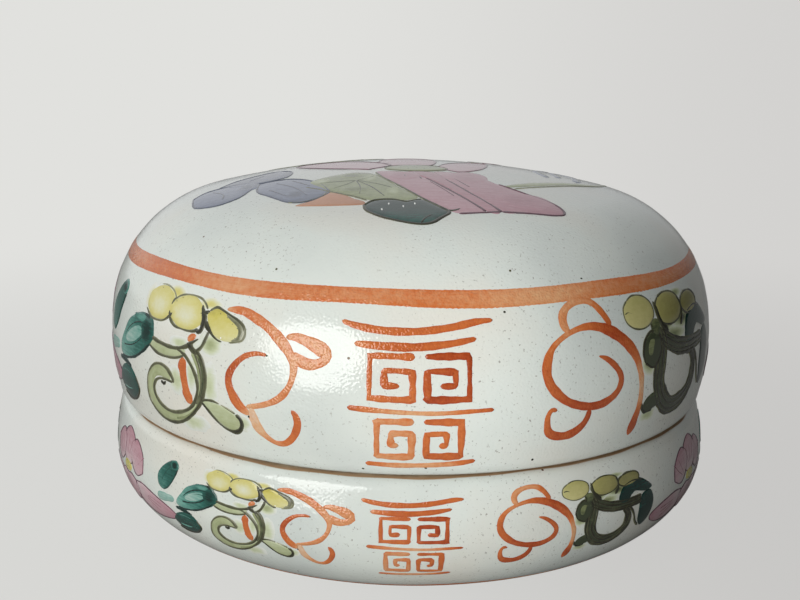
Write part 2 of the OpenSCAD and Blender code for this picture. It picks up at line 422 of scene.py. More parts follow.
boreR = collarR + box["lidGap"]
boreH = box["collarHeight"] + box["boreOver"]
heelDepth = box["baseHeight"] - box["footHeight"] - box["heelRadius"]
heelC = np.array([levelTouch(box["heelRadius"], box["bellyHeight"] - heelDepth), heelDepth])
heelA = directionOf(heelC - sideC)
footR = heelC[0] - box["footIn"]
floorZ = box["footHeight"] + box["wall"]

lidOutside = withoutRepeats(np.vstack([
    arcPoints(edgeC, box["edgeRadius"], -90, edgeA, 0.15),
    arcPoints(sideC, box["sideRadius"], edgeA, shoulderLow),
    arcPoints(shoulderC, box["shoulderRadius"], shoulderLow, shoulderHigh),
    arcPoints(crownC, box["crownRadius"], shoulderHigh, 90, 0.6)]))
baseOutside = withoutRepeats(np.vstack([  # in depths below the seam
    arcPoints(edgeC, box["edgeRadius"], -90, edgeA, 0.15),
    arcPoints(sideC, box["sideRadius"], edgeA, heelA),
    arcPoints(heelC, box["heelRadius"], heelA, 90, 0.3)]))


def makeSurface(outside, sign):
    # a table of the outside by its angle round a point inside the wall, for laying paint on it.
    # sign is 1 for the lid, whose heights go up from the seam, and -1 for the base, whose depths go down.
    slope = np.gradient(outside, axis=0)
    slope /= np.linalg.norm(slope, axis=1)[:, None]
    polar = np.arctan2(outside[:, 1] - 8, outside[:, 0] - 20)
    return {"polar": polar, "r": outside[:, 0], "h": outside[:, 1], "nr": slope[:, 1], "nh": -slope[:, 0],
            "sign": sign}


lidSurface = makeSurface(lidOutside, 1)
baseSurface = makeSurface(baseOutside, -1)


def throwing(angle, r, h, sign):
    # how far the thrown wall lies in from a true circle: slow waves round it and faint rings up it
    waves = 0.035 * np.sin(2 * angle + 0.6 * sign) + 0.022 * np.sin(3 * angle + 2 + 0.08 * h)
    rings = 0.012 * np.sin(1.9 * h + 1.3 * np.sin(angle + sign))
    return (-0.075 + (waves + rings) * np.clip(r / 40, 0, 1)) * smoothStep(h, 0.3, 3)


def surfacePoint(surface, angle, polar, lift):
    # a point on the thrown outside, raised by lift millimetres along its normal
    r, h, nr, nh = (np.interp(polar, surface["polar"], surface[k]) for k in ("r", "h", "nr", "nh"))
    lift = lift + throwing(angle, r, h, surface["sign"])
    r, h = r + nr * lift, h + nh * lift
    return np.stack([r * np.sin(angle), -r * np.cos(angle), box["baseHeight"] + surface["sign"] * h], axis=-1)


def layOn(surface, points, lift):
    # moves points that are near the surface onto it
    r = np.hypot(points[..., 0], points[..., 1])
    h = (points[..., 2] - box["baseHeight"]) * surface["sign"]
    angle = np.arctan2(points[..., 0], -points[..., 1])
    return surfacePoint(surface, angle, np.arctan2(h - 8, r - 20), lift)


def revolve(section, surface, firstOut, bareSpans):
    # carries a half section round the axis. Its outside starts at point firstOut, and runs the other way than
    # the surface's table. bare is the distance along it past the edge of the glaze.
    angle = np.linspace(0, 2 * np.pi, box["around"], endpoint=False)[None, :]
    r, h = section[:, 0][:, None], section[:, 1][:, None]
    slope = np.gradient(section, axis=0)
    slope /= np.linalg.norm(slope, axis=1)[:, None]
    isOut = np.zeros((len(section), 1))
    isOut[firstOut:firstOut + len(surface["r"])] = 1
    thrown = throwing(angle, r, h, surface["sign"]) * isOut
    r, h = r - slope[:, 1][:, None] * thrown, h + slope[:, 0][:, None] * thrown
    z = box["baseHeight"] + surface["sign"] * h
    rings = np.stack([r * np.sin(angle), -r * np.cos(angle), z + 0 * angle], axis=-1)
    walked = np.concatenate([[0], np.cumsum(np.linalg.norm(np.diff(section, axis=0), axis=1))])
    past = np.full(rings.shape[:2], -2.0)
    for first, last in bareSpans:
        wobble = 0.13 * np.sin(5 * angle + first) + 0.08 * np.sin(13 * angle + last)
        wobble = wobble + 0.05 * np.sin(31 * angle)
        span = np.minimum(walked[:, None] - walked[first], walked[last] - walked[:, None]) + wobble
        past = np.maximum(past, span)
    return closedSkin(rings[1:-1], rings[0].mean(0), rings[-1].mean(0), bare=np.clip(past, -2, 2)[1:-1])


def nearest(section, r, h):
    # the number of the section's point that is nearest
    return int(np.argmin(np.hypot(section[:, 0] - r, section[:, 1] - h)))


def makeLid():
    # the half section from the crown round the outside to the seam, up the bore and round the hollow
    inside = np.vstack([
        straightPoints([(ledgeR, 0), (boreR + box["boreBevel"], 0),
                        (boreR, box["boreBevel"]), (boreR, boreH)]),
        arcPoints(shoulderC, box["shoulderRadius"] - box["wall"], shoulderLow, shoulderHigh, 0.8),
        arcPoints(crownC, box["crownRadius"] - box["wall"], shoulderHigh, 90, 1.0)])
    section = withoutRepeats(np.vstack([lidOutside[::-1], inside]))
    bareSpan = (nearest(section, *glazeStop), nearest(section, boreR, boreH - 0.4))
    return revolve(section, lidSurface, 0, [bareSpan])


def makeBase():
    # the half section from under the foot round the outside to the ledge, over the collar and round the bowl
    h = box["baseHeight"]
    footIn, bevel, footTop = footR - box["footWidth"], box["footBevel"], h - box["footHeight"]
    foot = straightPoints([
        (0, footTop - box["hollowRise"]), (footIn, footTop), (footIn, h - bevel), (footIn + bevel, h),
        (footR - bevel, h), (footR, h - bevel), (footR, footTop), (heelC[0], footTop)])
    lipR, lipC = box["lipRadius"], box["lipRadius"] - box["collarHeight"]
    lip = np.vstack([arcPoints((collarR - lipR, lipC), lipR, 0, -90, 0.15),
                     arcPoints((mouthR + lipR, lipC), lipR, -90, -180, 0.15)])
    bowlFoot = (heelC[0] + box["heelRadius"] - box["wall"], heelC[1])
    inside = np.vstack([
        straightPoints([(ledgeR, 0), (collarR, 0), tuple(lip[0])]), lip,
        straightPoints([tuple(lip[-1]), (mouthR, 0), bowlFoot])[:-1],
        arcPoints(heelC, box["heelRadius"] - box["wall"], heelA, 90, 0.4),
        straightPoints([(heelC[0], h - floorZ), (0, h - floorZ)], 1.5)])
    section = withoutRepeats(np.vstack([foot, baseOutside[::-1], inside]))
    spans = [(nearest(section, footIn, h - 1.0), nearest(section, footR, h - 0.9)),
             (nearest(section, *glazeStop), nearest(section, mouthR, 1.2 - box["collarHeight"]))]
    return revolve(section, baseSurface, nearest(section, *baseOutside[-1]), spans)


lid = makePiece("lid_body", [makeLid()], whiteGlaze, "lid")
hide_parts("lid")
base = makePiece("base_body", [makeBase()], whiteGlaze, "base")
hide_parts("base")
print("porcelain thrown", len(lid.data.polygons), len(base.data.polygons))


# seal paste

paste = {
    "radius": heelC[0] - 5.0, "height": 8.4, "sidePower": 0.62, "topPower": 0.85,
    "lump": 0.45, "dimple": 1.0, "dimpleWidth": 11.0,
    "planWaves": [(3, 0.022, 40), (5, 0.014, -25), (9, 0.008, 0)],
    "lumpWaves": [(4, 1, 300), (7, 0.6, -500)],
    "dimples": [(35, 0.43), (160, 0.3), (265, 0.5)],
    "around": 260, "rings": 110, "floss": 0.16,
}


def makePaste():
    # the part's own cake under a skin of short waves: a circle with slow waves that rises on powers of cos
    # and sin
    angle = np.linspace(0, 360, paste["around"], endpoint=False)[None, :]
    rise = np.linspace(0, 1, paste["rings"], endpoint=False)[:, None]
    plan = 1 + sum(size * np.sin(np.radians(count * angle + start))
                   for count, size, start in paste["planWaves"])
    out = paste["radius"] * plan * np.cos(np.radians(90 * rise)) ** paste["sidePower"]
    x, y = out * np.cos(np.radians(angle)), out * np.sin(np.radians(angle))
    dent = np.zeros_like(x)
    for turn, share in paste["dimples"]:
        dx = x - paste["radius"] * share * math.cos(math.radians(turn))
        dy = y - paste["radius"] * share * math.sin(math.radians(turn))
        dent = np.maximum(dent, paste["dimple"] * np.exp(-(2 * np.hypot(dx, dy) / paste["dimpleWidth"]) ** 2))
    lumps = sum(size * np.sin(np.radians(count * angle + twist * rise))
                for count, size, twist in paste["lumpWaves"])
    z = floorZ + (paste["height"] - dent) * np.sin(np.radians(90 * rise)) ** paste["topPower"]
    z = z + paste["lump"] * np.sin(np.radians(180 * rise)) * lumps
    chance = np.random.default_rng(5)
    skin = np.zeros_like(x)
    for wave in range(60):  # waves 1.2 to 6 mm long, in every direction
        turn, length, start = chance.uniform(0, 2 * np.pi), chance.uniform(1.2, 6), chance.uniform(0, 6.3)
        along = x * math.cos(turn) + y * math.sin(turn) + 0.8 * z * chance.uniform(-1, 1)
        phase = 2 * np.pi / length * along + start
        skin += length / 6 * np.sin(phase)
    z = z - paste["floss"] * smoothStep(rise, 0, 0.15) * (0.6 + skin / 6)
    rings = np.stack([x, y, z], axis=-1)
    return closedSkin(rings, (0, 0, floorZ), rings[-1].mean(0))


cake = makePiece("seal_paste_cake", [makePaste()], redPaste, "base", 180)
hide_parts("seal_paste")
print("paste made")


# painting

chance = np.random.default_rng(11)
laid = {"count": 0}  # strokes so far
skins = {}           # closed skins of paint by body and colour
brushwork = {
    "pooling": {"outline": -0.55, "rose": -0.1},  # extra wash at a stroke's edges, 0.1 for the other colours
    "layer": 0.0004,       # mm that a stroke lies above the one before it, as it was painted over it
    "layers": 40,          # strokes after which the layers start again
    "sunk": 0.02,          # mm that the edge of the paint goes down into the glaze
    "strokeRoot": 0.06,    # mm down to the underside of a stroke, and of a fill
    "fillRoot": 0.07,
    "span": np.array([-1, -0.86, -0.5, 0, 0.5, 0.86, 1]),  # points across a stroke
    "shrink": np.array([1.0, 0.985, 0.94, 0.84, 0.68, 0.5, 0.32, 0.15]),  # rings of a fill
    "degree": 0.76,        # mm round the wall in a degree
}


def onSide(surface, angle, height):
    # a point on the wall from its turn in degrees, right of the front, and its distance from the seam
    upTo = surface["h"] < 30
    r = np.interp(height, surface["h"][upTo], surface["r"][upTo])
    a = np.radians(angle)
    return np.stack([r * np.sin(a), -r * np.cos(a), box["baseHeight"] + surface["sign"] * height], axis=-1)


def onCrown(surface, x, y):
    # a point on the crown from above, x to the right and y away from the front
    above = surface["h"] > 9
    h = np.interp(np.hypot(x, y), surface["r"][above][::-1], surface["h"][above][::-1])
    return np.stack([x, y, box["baseHeight"] + h], axis=-1)


# where a motif goes. Its numbers are degrees round and millimetres up on the wall, and millimetres on the
# crown. "foot" is where its height 0 lies, from the seam, and "up" is -1 on the base, which is measured
# downwards.
lidSide = {"body": "lid", "surface": lidSurface, "place": onSide, "turn": 0, "wide": 1.0, "tall": 1.0,
           "foot": 0.0, "up": 1}
lidCrown = {"body": "lid", "surface": lidSurface, "place": onCrown, "turn": 0, "wide": 1.0, "tall": 1.0,
            "foot": 0.0, "up": 1}
baseSide = {"body": "base", "surface": baseSurface, "place": onSide, "turn": 0, "wide": 0.68, "tall": 0.58,
            "foot": 13.0, "up": -1}


def placed(points, at):
    # a motif's points where it goes, with its widths to match
    p = np.array(points, float)
    p[:, 0] = at["turn"] + at["wide"] * p[:, 0]
    p[:, 1] = at["foot"] + at["up"] * at["tall"] * p[:, 1]
    if p.shape[1] > 2:
        p[:, 2] *= 0.25 + 0.75 * at["tall"]
    return p


def nextLift(lift):
    # counts a stroke, and lays it a hair above the one before
    laid["count"] += 1
    return lift + brushwork["layer"] * (laid["count"] % brushwork["layers"])


def addStroke(at, colour, points, lift=0.035, blunt=0.6, wobble=0.05, step=0.3):
    # points are (across, up, width, wash). The line is smooth through them, and at each step an arch of seven
    # points spans the width, with one point sunk in the glaze under it. Both ends are round.
    surface, place = at["surface"], at["place"]
    points = placed(points, at)
    dense = smoothPath(points, 40 * len(points))
    line = place(surface, dense[:, 0], dense[:, 1])
    walked = np.concatenate([[0], np.cumsum(np.linalg.norm(np.diff(line, axis=0), axis=1))])
    count = max(8, int(walked[-1] / step))
    ease = (1 - np.cos(np.linspace(0, np.pi, count))) / 2  # steps are shorter near the ends
    margin = min(0.02, 0.1 * walked[-1])
    along = margin + (walked[-1] - 2 * margin) * (0.25 * ease + 0.75 * np.linspace(0, 1, count))
    centre = np.column_stack([np.interp(along, walked, line[:, k]) for k in range(3)])
    width = np.interp(along, walked, dense[:, 2])
    wash = np.interp(along, walked, dense[:, 3])
    tangent = np.gradient(centre, axis=0)
    tangent /= np.linalg.norm(tangent, axis=1)[:, None]
    outward = layOn(surface, centre, 1.0) - layOn(surface, centre, 0.0)
    across = np.cross(tangent, outward)
    across /= np.linalg.norm(across, axis=1)[:, None]
    toEnd = np.minimum(along, walked[-1] - along)
    rounding = np.sqrt(np.clip(1 - (1 - np.clip(toEnd / (blunt * width + 1e-6), 0, 1)) ** 2, 0, 1))
    start = chance.uniform(0, 6.3, 2)
    shake = wobble * (np.sin(along * 1.7 + start[0]) + 0.6 * np.sin(along * 4.1 + start[1]))
    half = 0.5 * width * rounding * (1 + shake)
    lift, sunk = nextLift(lift), brushwork["sunk"]
    span = brushwork["span"]
    arch = 1 - np.abs(span) ** 3
    edges = centre[:, None] + across[:, None] * (half[:, None] * span)[..., None]
    top = layOn(surface, edges, -sunk + (lift + sunk) * arch * np.clip(rounding * 1.5, 0, 1)[:, None])
    under = layOn(surface, centre, -brushwork["strokeRoot"])[:, None]
    rings = np.concatenate([top, under], axis=1)
    columns = np.append(span, 0)
    number = np.full((count, len(columns)), chance.uniform(0, 90))
    brush = np.stack([along[:, None] + 0 * columns, (half + 0.02)[:, None] * columns, number], axis=-1)
    marks = wash[:, None] + brushwork["pooling"].get(colour, 0.1) * (np.abs(columns) ** 2 - 0.4)
    skin = closedSkin(rings, rings[0].mean(0), rings[-1].mean(0), wash=marks, brush=brush)
    skins.setdefault((at["body"], colour), []).append(skin)


def addFill(at, colour, outline, washFrom, washTo, toward=(0, -1), lift=0.07, around=64, edge=None):
    # fills a closed outline that its middle can see all of. Rings shrink to the middle, and the fill is a low
    # cushion. Its wash goes from washFrom to washTo in the direction toward, and to edge at the rim if given.
    surface, place = at["surface"], at["place"]
    rim = smoothPath(placed(outline, at), around, closed=True)
    middle = rim.mean(0)
    share = brushwork["shrink"]
    flat = middle + (rim - middle) * share[:, None, None]
    lift, sunk = nextLift(lift), brushwork["sunk"]
    cushion = np.broadcast_to((-sunk + (lift + sunk) * (1 - share**14))[:, None], flat.shape[:2])
    points = layOn(surface, place(surface, flat[..., 0], flat[..., 1]), cushion)
    inset = middle + (rim - middle) * 0.93
    under = layOn(surface, place(surface, inset[:, 0], inset[:, 1]), -brushwork["fillRoot"])
    rings = np.concatenate([under[None], points])
    middlePoint = place(surface, middle[:1], middle[1:2])
    top, bottom = (layOn(surface, middlePoint, rise)[0] for rise in (lift, -brushwork["fillRoot"]))
    size = np.abs(rim - middle).max(0)
    lean = np.array([toward[0] * np.sign(at["wide"]), toward[1] * at["up"]]) / np.linalg.norm(toward)
    down = np.clip((((flat - middle) / size) @ lean + 1) / 2, 0, 1)
    wash = washFrom + (washTo - washFrom) * down
    if edge is not None:
        wash = edge + (wash - edge) * (1 - smoothStep(share, 0.1, 1.0))[:, None]
    wash = np.concatenate([wash[:1], wash])
    local = np.concatenate([flat[:1], flat])
    brush = np.concatenate([local, np.full(local.shape[:2] + (1,), chance.uniform(0, 90))], axis=-1)
    skin = closedSkin(rings, bottom, top, wash=wash, brush=brush)
    skins.setdefault((at["body"], colour), []).append(skin)


def addWashes(at, colour, *rows, edge=0.0, lift=0.012):
    # thin oval washes, each (x, y, half width, half height, wash). They fade to edge at the rim, which is 0
    # on the bare glaze and more where they lie on other paint.
    for x, y, halfWide, halfTall, wash in rows:
        addFill(at, colour, oval(x, y, halfWide, halfTall, uneven=0.1), wash, wash, lift=lift, around=48,
                edge=edge)


def addDots(at, colour, size, wash, *places, lift=0.12):
    # small dabs, each a stroke hardly longer than it is wide
    for x, y in places:
        addStroke(at, colour, [(x, y, size[0], wash[0]), (x + size[2], y + size[3], size[1], wash[1])],
                  lift=lift)


def oval(x, y, halfWide, halfTall, tilt=0, uneven=0.04, count=14):
    # a hand-drawn oval: an ellipse with a little seeded wander
    t = np.linspace(0, 2 * np.pi, count, endpoint=False)
    grow = 1 + uneven * chance.uniform(-1, 1, count)
    u, v = halfWide * grow * np.cos(t), halfTall * grow * np.sin(t)
    c, s = math.cos(math.radians(tilt)), math.sin(math.radians(tilt))
    return np.column_stack([x + u * c - v * s, y + u * s + v * c])


def drawn(line, width, wash, wander=0.2):
    # gives a bare line of points its width and wash, which vary as a loaded brush runs dry
    line = np.array(line, float)
    widths = width * (1 + wander * chance.uniform(-1, 1, len(line)))
    washes = wash * (1 + 0.12 * chance.uniform(-1, 1, len(line)))
    return np.column_stack([line, widths, washes])


def addLoop(at, colour, outline, width, wash, wander=0.25, first=0):
    # draws round an outline, from one of its points on, and past where it began
    loop = np.roll(np.array(outline, float), -first, axis=0)
    addStroke(at, colour, drawn(np.vstack([loop, loop[:1]]), width, wash, wander), lift=0.075, wobble=0.12,
              step=0.25)


def beside(points, offset):
    # a line's points moved sideways on the wall by offset millimetres, where one degree is about 0.76 mm
    line = np.array(points, float)[:, :2] * (brushwork["degree"], 1)
    slope = np.gradient(line, axis=0)
    slope /= np.linalg.norm(slope, axis=1)[:, None]
    return (line + np.column_stack([-slope[:, 1], slope[:, 0]]) * offset[:, None]) / (brushwork["degree"], 1)


def band(at, height, width, wash, lift=0.03):
    # a line round the whole pot, painted as it turned on the wheel. Its ends pass one another at the back.
    angle = np.linspace(-181, 181, 242)
    wander = -0.22 * np.sin(np.radians(angle + 10)) + 0.1 * np.sin(np.radians(9 * angle + 162))
    widths = width * (1 + 0.05 * np.sin(np.radians(4 * angle + 10)) + 0.04 * np.sin(np.radians(11 * angle)))
    # how the brush's load rises and falls round the pot
    loads = [(-181, 0.0), (-90, 0.1), (-44, 0.12), (-30, 0.0), (-12, 0.08), (2, 0.07), (13, -0.01),
             (27, -0.04), (40, 0.06), (90, 0.1), (181, 0.0)]
    density = wash + np.interp(angle, *zip(*loads)) + 0.03 * np.sin(np.radians(13 * angle))
    plain = dict(at, turn=0, wide=1.0, tall=1.0, foot=0.0, up=1)
    points = np.column_stack([angle, height + wander, widths, density])
    addStroke(plain, "ironRed", points, lift=lift, wobble=0.01, step=0.55)


def paintScrolls(at):
    # iron-red tendrils either side of the fret, each laid in one pull of a round brush
    stem = [(-30.2, 18.1, 0.36, 0.4), (-28.5, 18.2, 0.96, 0.5), (-26.5, 18.1, 1.26, 0.52),
            (-24.3, 17.55, 1.32, 0.5), (-22.3, 16.9, 1.38, 0.48), (-20.5, 16.0, 1.5, 0.45),
            (-19, 15.0, 1.56, 0.42), (-17.9, 14.0, 1.32, 0.42), (-17.3, 13.0, 1.14, 0.4),
            (-17.35, 11.9, 0.96, 0.38), (-17.8, 10.7, 0.86, 0.44), (-18.8, 9.5, 0.96, 0.46),
            (-20.2, 8.6, 0.96, 0.46), (-22, 7.95, 0.78, 0.42), (-24, 7.5, 0.72, 0.36),
            (-25.3, 7.3, 0.66, 0.3)]
    loopLeaf = [(-18.9, 15.95, 0.56, 0.45), (-17.2, 16.05, 1.12, 0.44), (-15.2, 15.65, 1.61, 0.42),
                (-13.3, 15.05, 1.89, 0.42), (-12.25, 14.35, 1.61, 0.42), (-12.9, 13.6, 1.26, 0.44),
                (-14.6, 13.2, 1.4, 0.44), (-16.3, 13.5, 1.61, 0.42), (-17.7, 14.3, 1.12, 0.4)]
    tail = [(-24.4, 7.4, 0.8, 0.2), (-24.2, 6.4, 1.38, 0.2), (-23.8, 5.5, 1.44, 0.22),
            (-23.1, 4.7, 1.32, 0.26), (-22, 3.95, 0.92, 0.4), (-20.5, 3.35, 0.71, 0.44),
            (-19, 3.4, 0.86, 0.5), (-17.8, 4.1, 1.03, 0.58), (-17, 5.1, 1.09, 0.62),
            (-16.65, 6.2, 1.03, 0.62), (-16.95, 7.1, 0.92, 0.6), (-17.6, 7.7, 0.63, 0.7)]
    hook = [(-21.8, 13.7, 0.5, 0.64), (-23.5, 13.75, 0.6, 0.6), (-25.5, 13.3, 0.75, 0.62),
            (-27.2, 12.25, 0.95, 0.72), (-28.35, 10.9, 1.1, 0.76), (-28.4, 9.6, 1.25, 0.62),
            (-27.7, 8.4, 1.45, 0.6), (-26.7, 7.4, 1.5, 0.58), (-25.5, 6.75, 1.2, 0.46),
            (-24.7, 6.4, 0.8, 0.3)]
    ear = [(25.2, 16.4, 0.84, 0.44), (24.4, 17.3, 1.16, 0.42), (24.5, 18.4, 1.26, 0.42),
           (25.8, 19.3, 1.05, 0.38), (28.2, 19.7, 0.89, 0.4), (30.3, 19.4, 1, 0.48), (31.8, 18.4, 1, 0.56),
           (32.8, 17.3, 0.95, 0.64), (33.4, 16.6, 0.84, 0.7)]
    ring = [(30.3, 13.4, 0.29, 0.66), (31.8, 12.95, 0.71, 0.7), (33.3, 12.1, 0.94, 0.72), (34.5, 11, 1, 0.7),
            (34.8, 10, 1, 0.68), (34.2, 8.9, 1.06, 0.7), (32.8, 8.1, 1.12, 0.74), (30.8, 7.6, 1.18, 0.78),
            (28.5, 7.6, 1.18, 0.82), (26.5, 7.95, 1.12, 0.8), (24.5, 8.6, 1.18, 0.76), (22.8, 9.6, 1.3, 0.7),
            (21.5, 10.8, 1.36, 0.66), (20.9, 12.2, 1.36, 0.64), (21.1, 13.6, 1.3, 0.6),
            (22, 14.9, 0.94, 0.54), (23.6, 15.85, 0.71, 0.46), (25.6, 16.5, 0.77, 0.48),
            (27.8, 16.85, 0.89, 0.56), (30, 16.8, 1.18, 0.66), (32.3, 16.3, 1.53, 0.76),
            (34.5, 15.4, 1.65, 0.78), (36.5, 14.2, 1.65, 0.72), (38.2, 12.6, 1.47, 0.6),
            (39.2, 10.8, 1.18, 0.4), (39.6, 9, 1.06, 0.3), (39.6, 7.3, 1, 0.34), (39.3, 5.7, 1.18, 0.56),
            (38.8, 4.4, 1.59, 0.76), (38.2, 3.2, 1.42, 0.74), (37.9, 2.5, 0.71, 0.6)]
    curl = [(28.6, 7.3, 0.84, 0.78), (28.4, 6.4, 0.9, 0.82), (27.6, 5.4, 1.14, 0.8), (26, 4.6, 1.26, 0.76),
            (24.2, 4.35, 1.2, 0.76), (22.5, 4.6, 1.32, 0.74), (21.5, 5.2, 1.14, 0.68), (21.2, 6.3, 0.9, 0.64),
            (21.3, 7.2, 0.78, 0.6), (21.9, 7.8, 0.66, 0.64), (22.8, 7.65, 0.54, 0.74)]
    for points in (stem, loopLeaf, tail, hook, ear, ring, curl):
        addStroke(at, "ironRed", points)
    addStroke(at, "outline", [(-25.05, 6.05, 0.34, 1.1), (-24.7, 6.2, 0.34, 1.1)], lift=0.09)
    addStroke(at, "outline", [(-22, 13.62, 0.26, 0.5), (-21.65, 13.7, 0.3, 0.6)], lift=0.09)


def squared(corners, ease=0.3):
    # a line that turns sharp corners: two points stand close to each corner, one on each leg
    c = np.array(corners, float)
    before, after = c[:-2] - c[1:-1], c[2:] - c[1:-1]
    before *= ease / np.linalg.norm(before, axis=1)[:, None]
    after *= ease / np.linalg.norm(after, axis=1)[:, None]
    pairs = np.stack([c[1:-1] + before, c[1:-1] + after], axis=1).reshape(-1, 2)
    return np.vstack([c[:1], pairs, c[-1:]])


def paintFret(at):
    # a key fret: mirrored square spirals between long bars that rise a little at their ends
    bars = [
        [(-10.3, 18.2, 0.6, 0.5), (-8, 17.75, 0.9, 0.58), (-4, 17.35, 1.05, 0.6), (1, 17.3, 1.0, 0.62),
         (6, 17.7, 1.0, 0.62), (10, 18.25, 0.95, 0.62), (12.7, 18.4, 0.5, 0.66)],
        [(-8.2, 15.9, 0.7, 0.45), (-4, 15.7, 1.1, 0.62), (1, 15.65, 1.1, 0.66), (6, 16.0, 0.95, 0.64),
         (10, 16.5, 0.6, 0.68)],
        [(-9, 8.7, 0.75, 0.72), (-6, 8.55, 0.75, 0.5), (-1, 8.35, 0.6, 0.36), (4, 8.25, 0.6, 0.36),
         (9, 8.4, 0.6, 0.56), (12.6, 8.5, 0.55, 0.76)],
        [(-6.4, 1.95, 0.6, 0.6), (-2, 1.8, 0.75, 0.4), (3, 1.85, 0.7, 0.36), (7, 2.0, 0.8, 0.5),
         (10.2, 2.3, 0.6, 0.7)]]
    for points in bars:
        addStroke(at, "ironRed", points)
    middle = 1.6
    for low, high, half, wash in ((9.9, 14.6, 7.3, 0.7), (3.0, 7.2, 6.2, 0.52)):
        tall = high - low
        spiral = squared([(0.7, tall), (half, tall), (half, 0.0), (1.1, 0.0), (1.1, 0.66 * tall),
                          (half - 2.1, 0.66 * tall), (half - 2.1, 0.32 * tall), (3.0, 0.32 * tall)])
        for side in (-1, 1):
            line = np.column_stack([middle + side * spiral[:, 0], low + spiral[:, 1]])
            line += 0.07 * chance.uniform(-1, 1, line.shape)
            addStroke(at, "ironRed", drawn(line, 0.86, wash + 0.08 * side, 0.25), wobble=0.1, step=0.22)


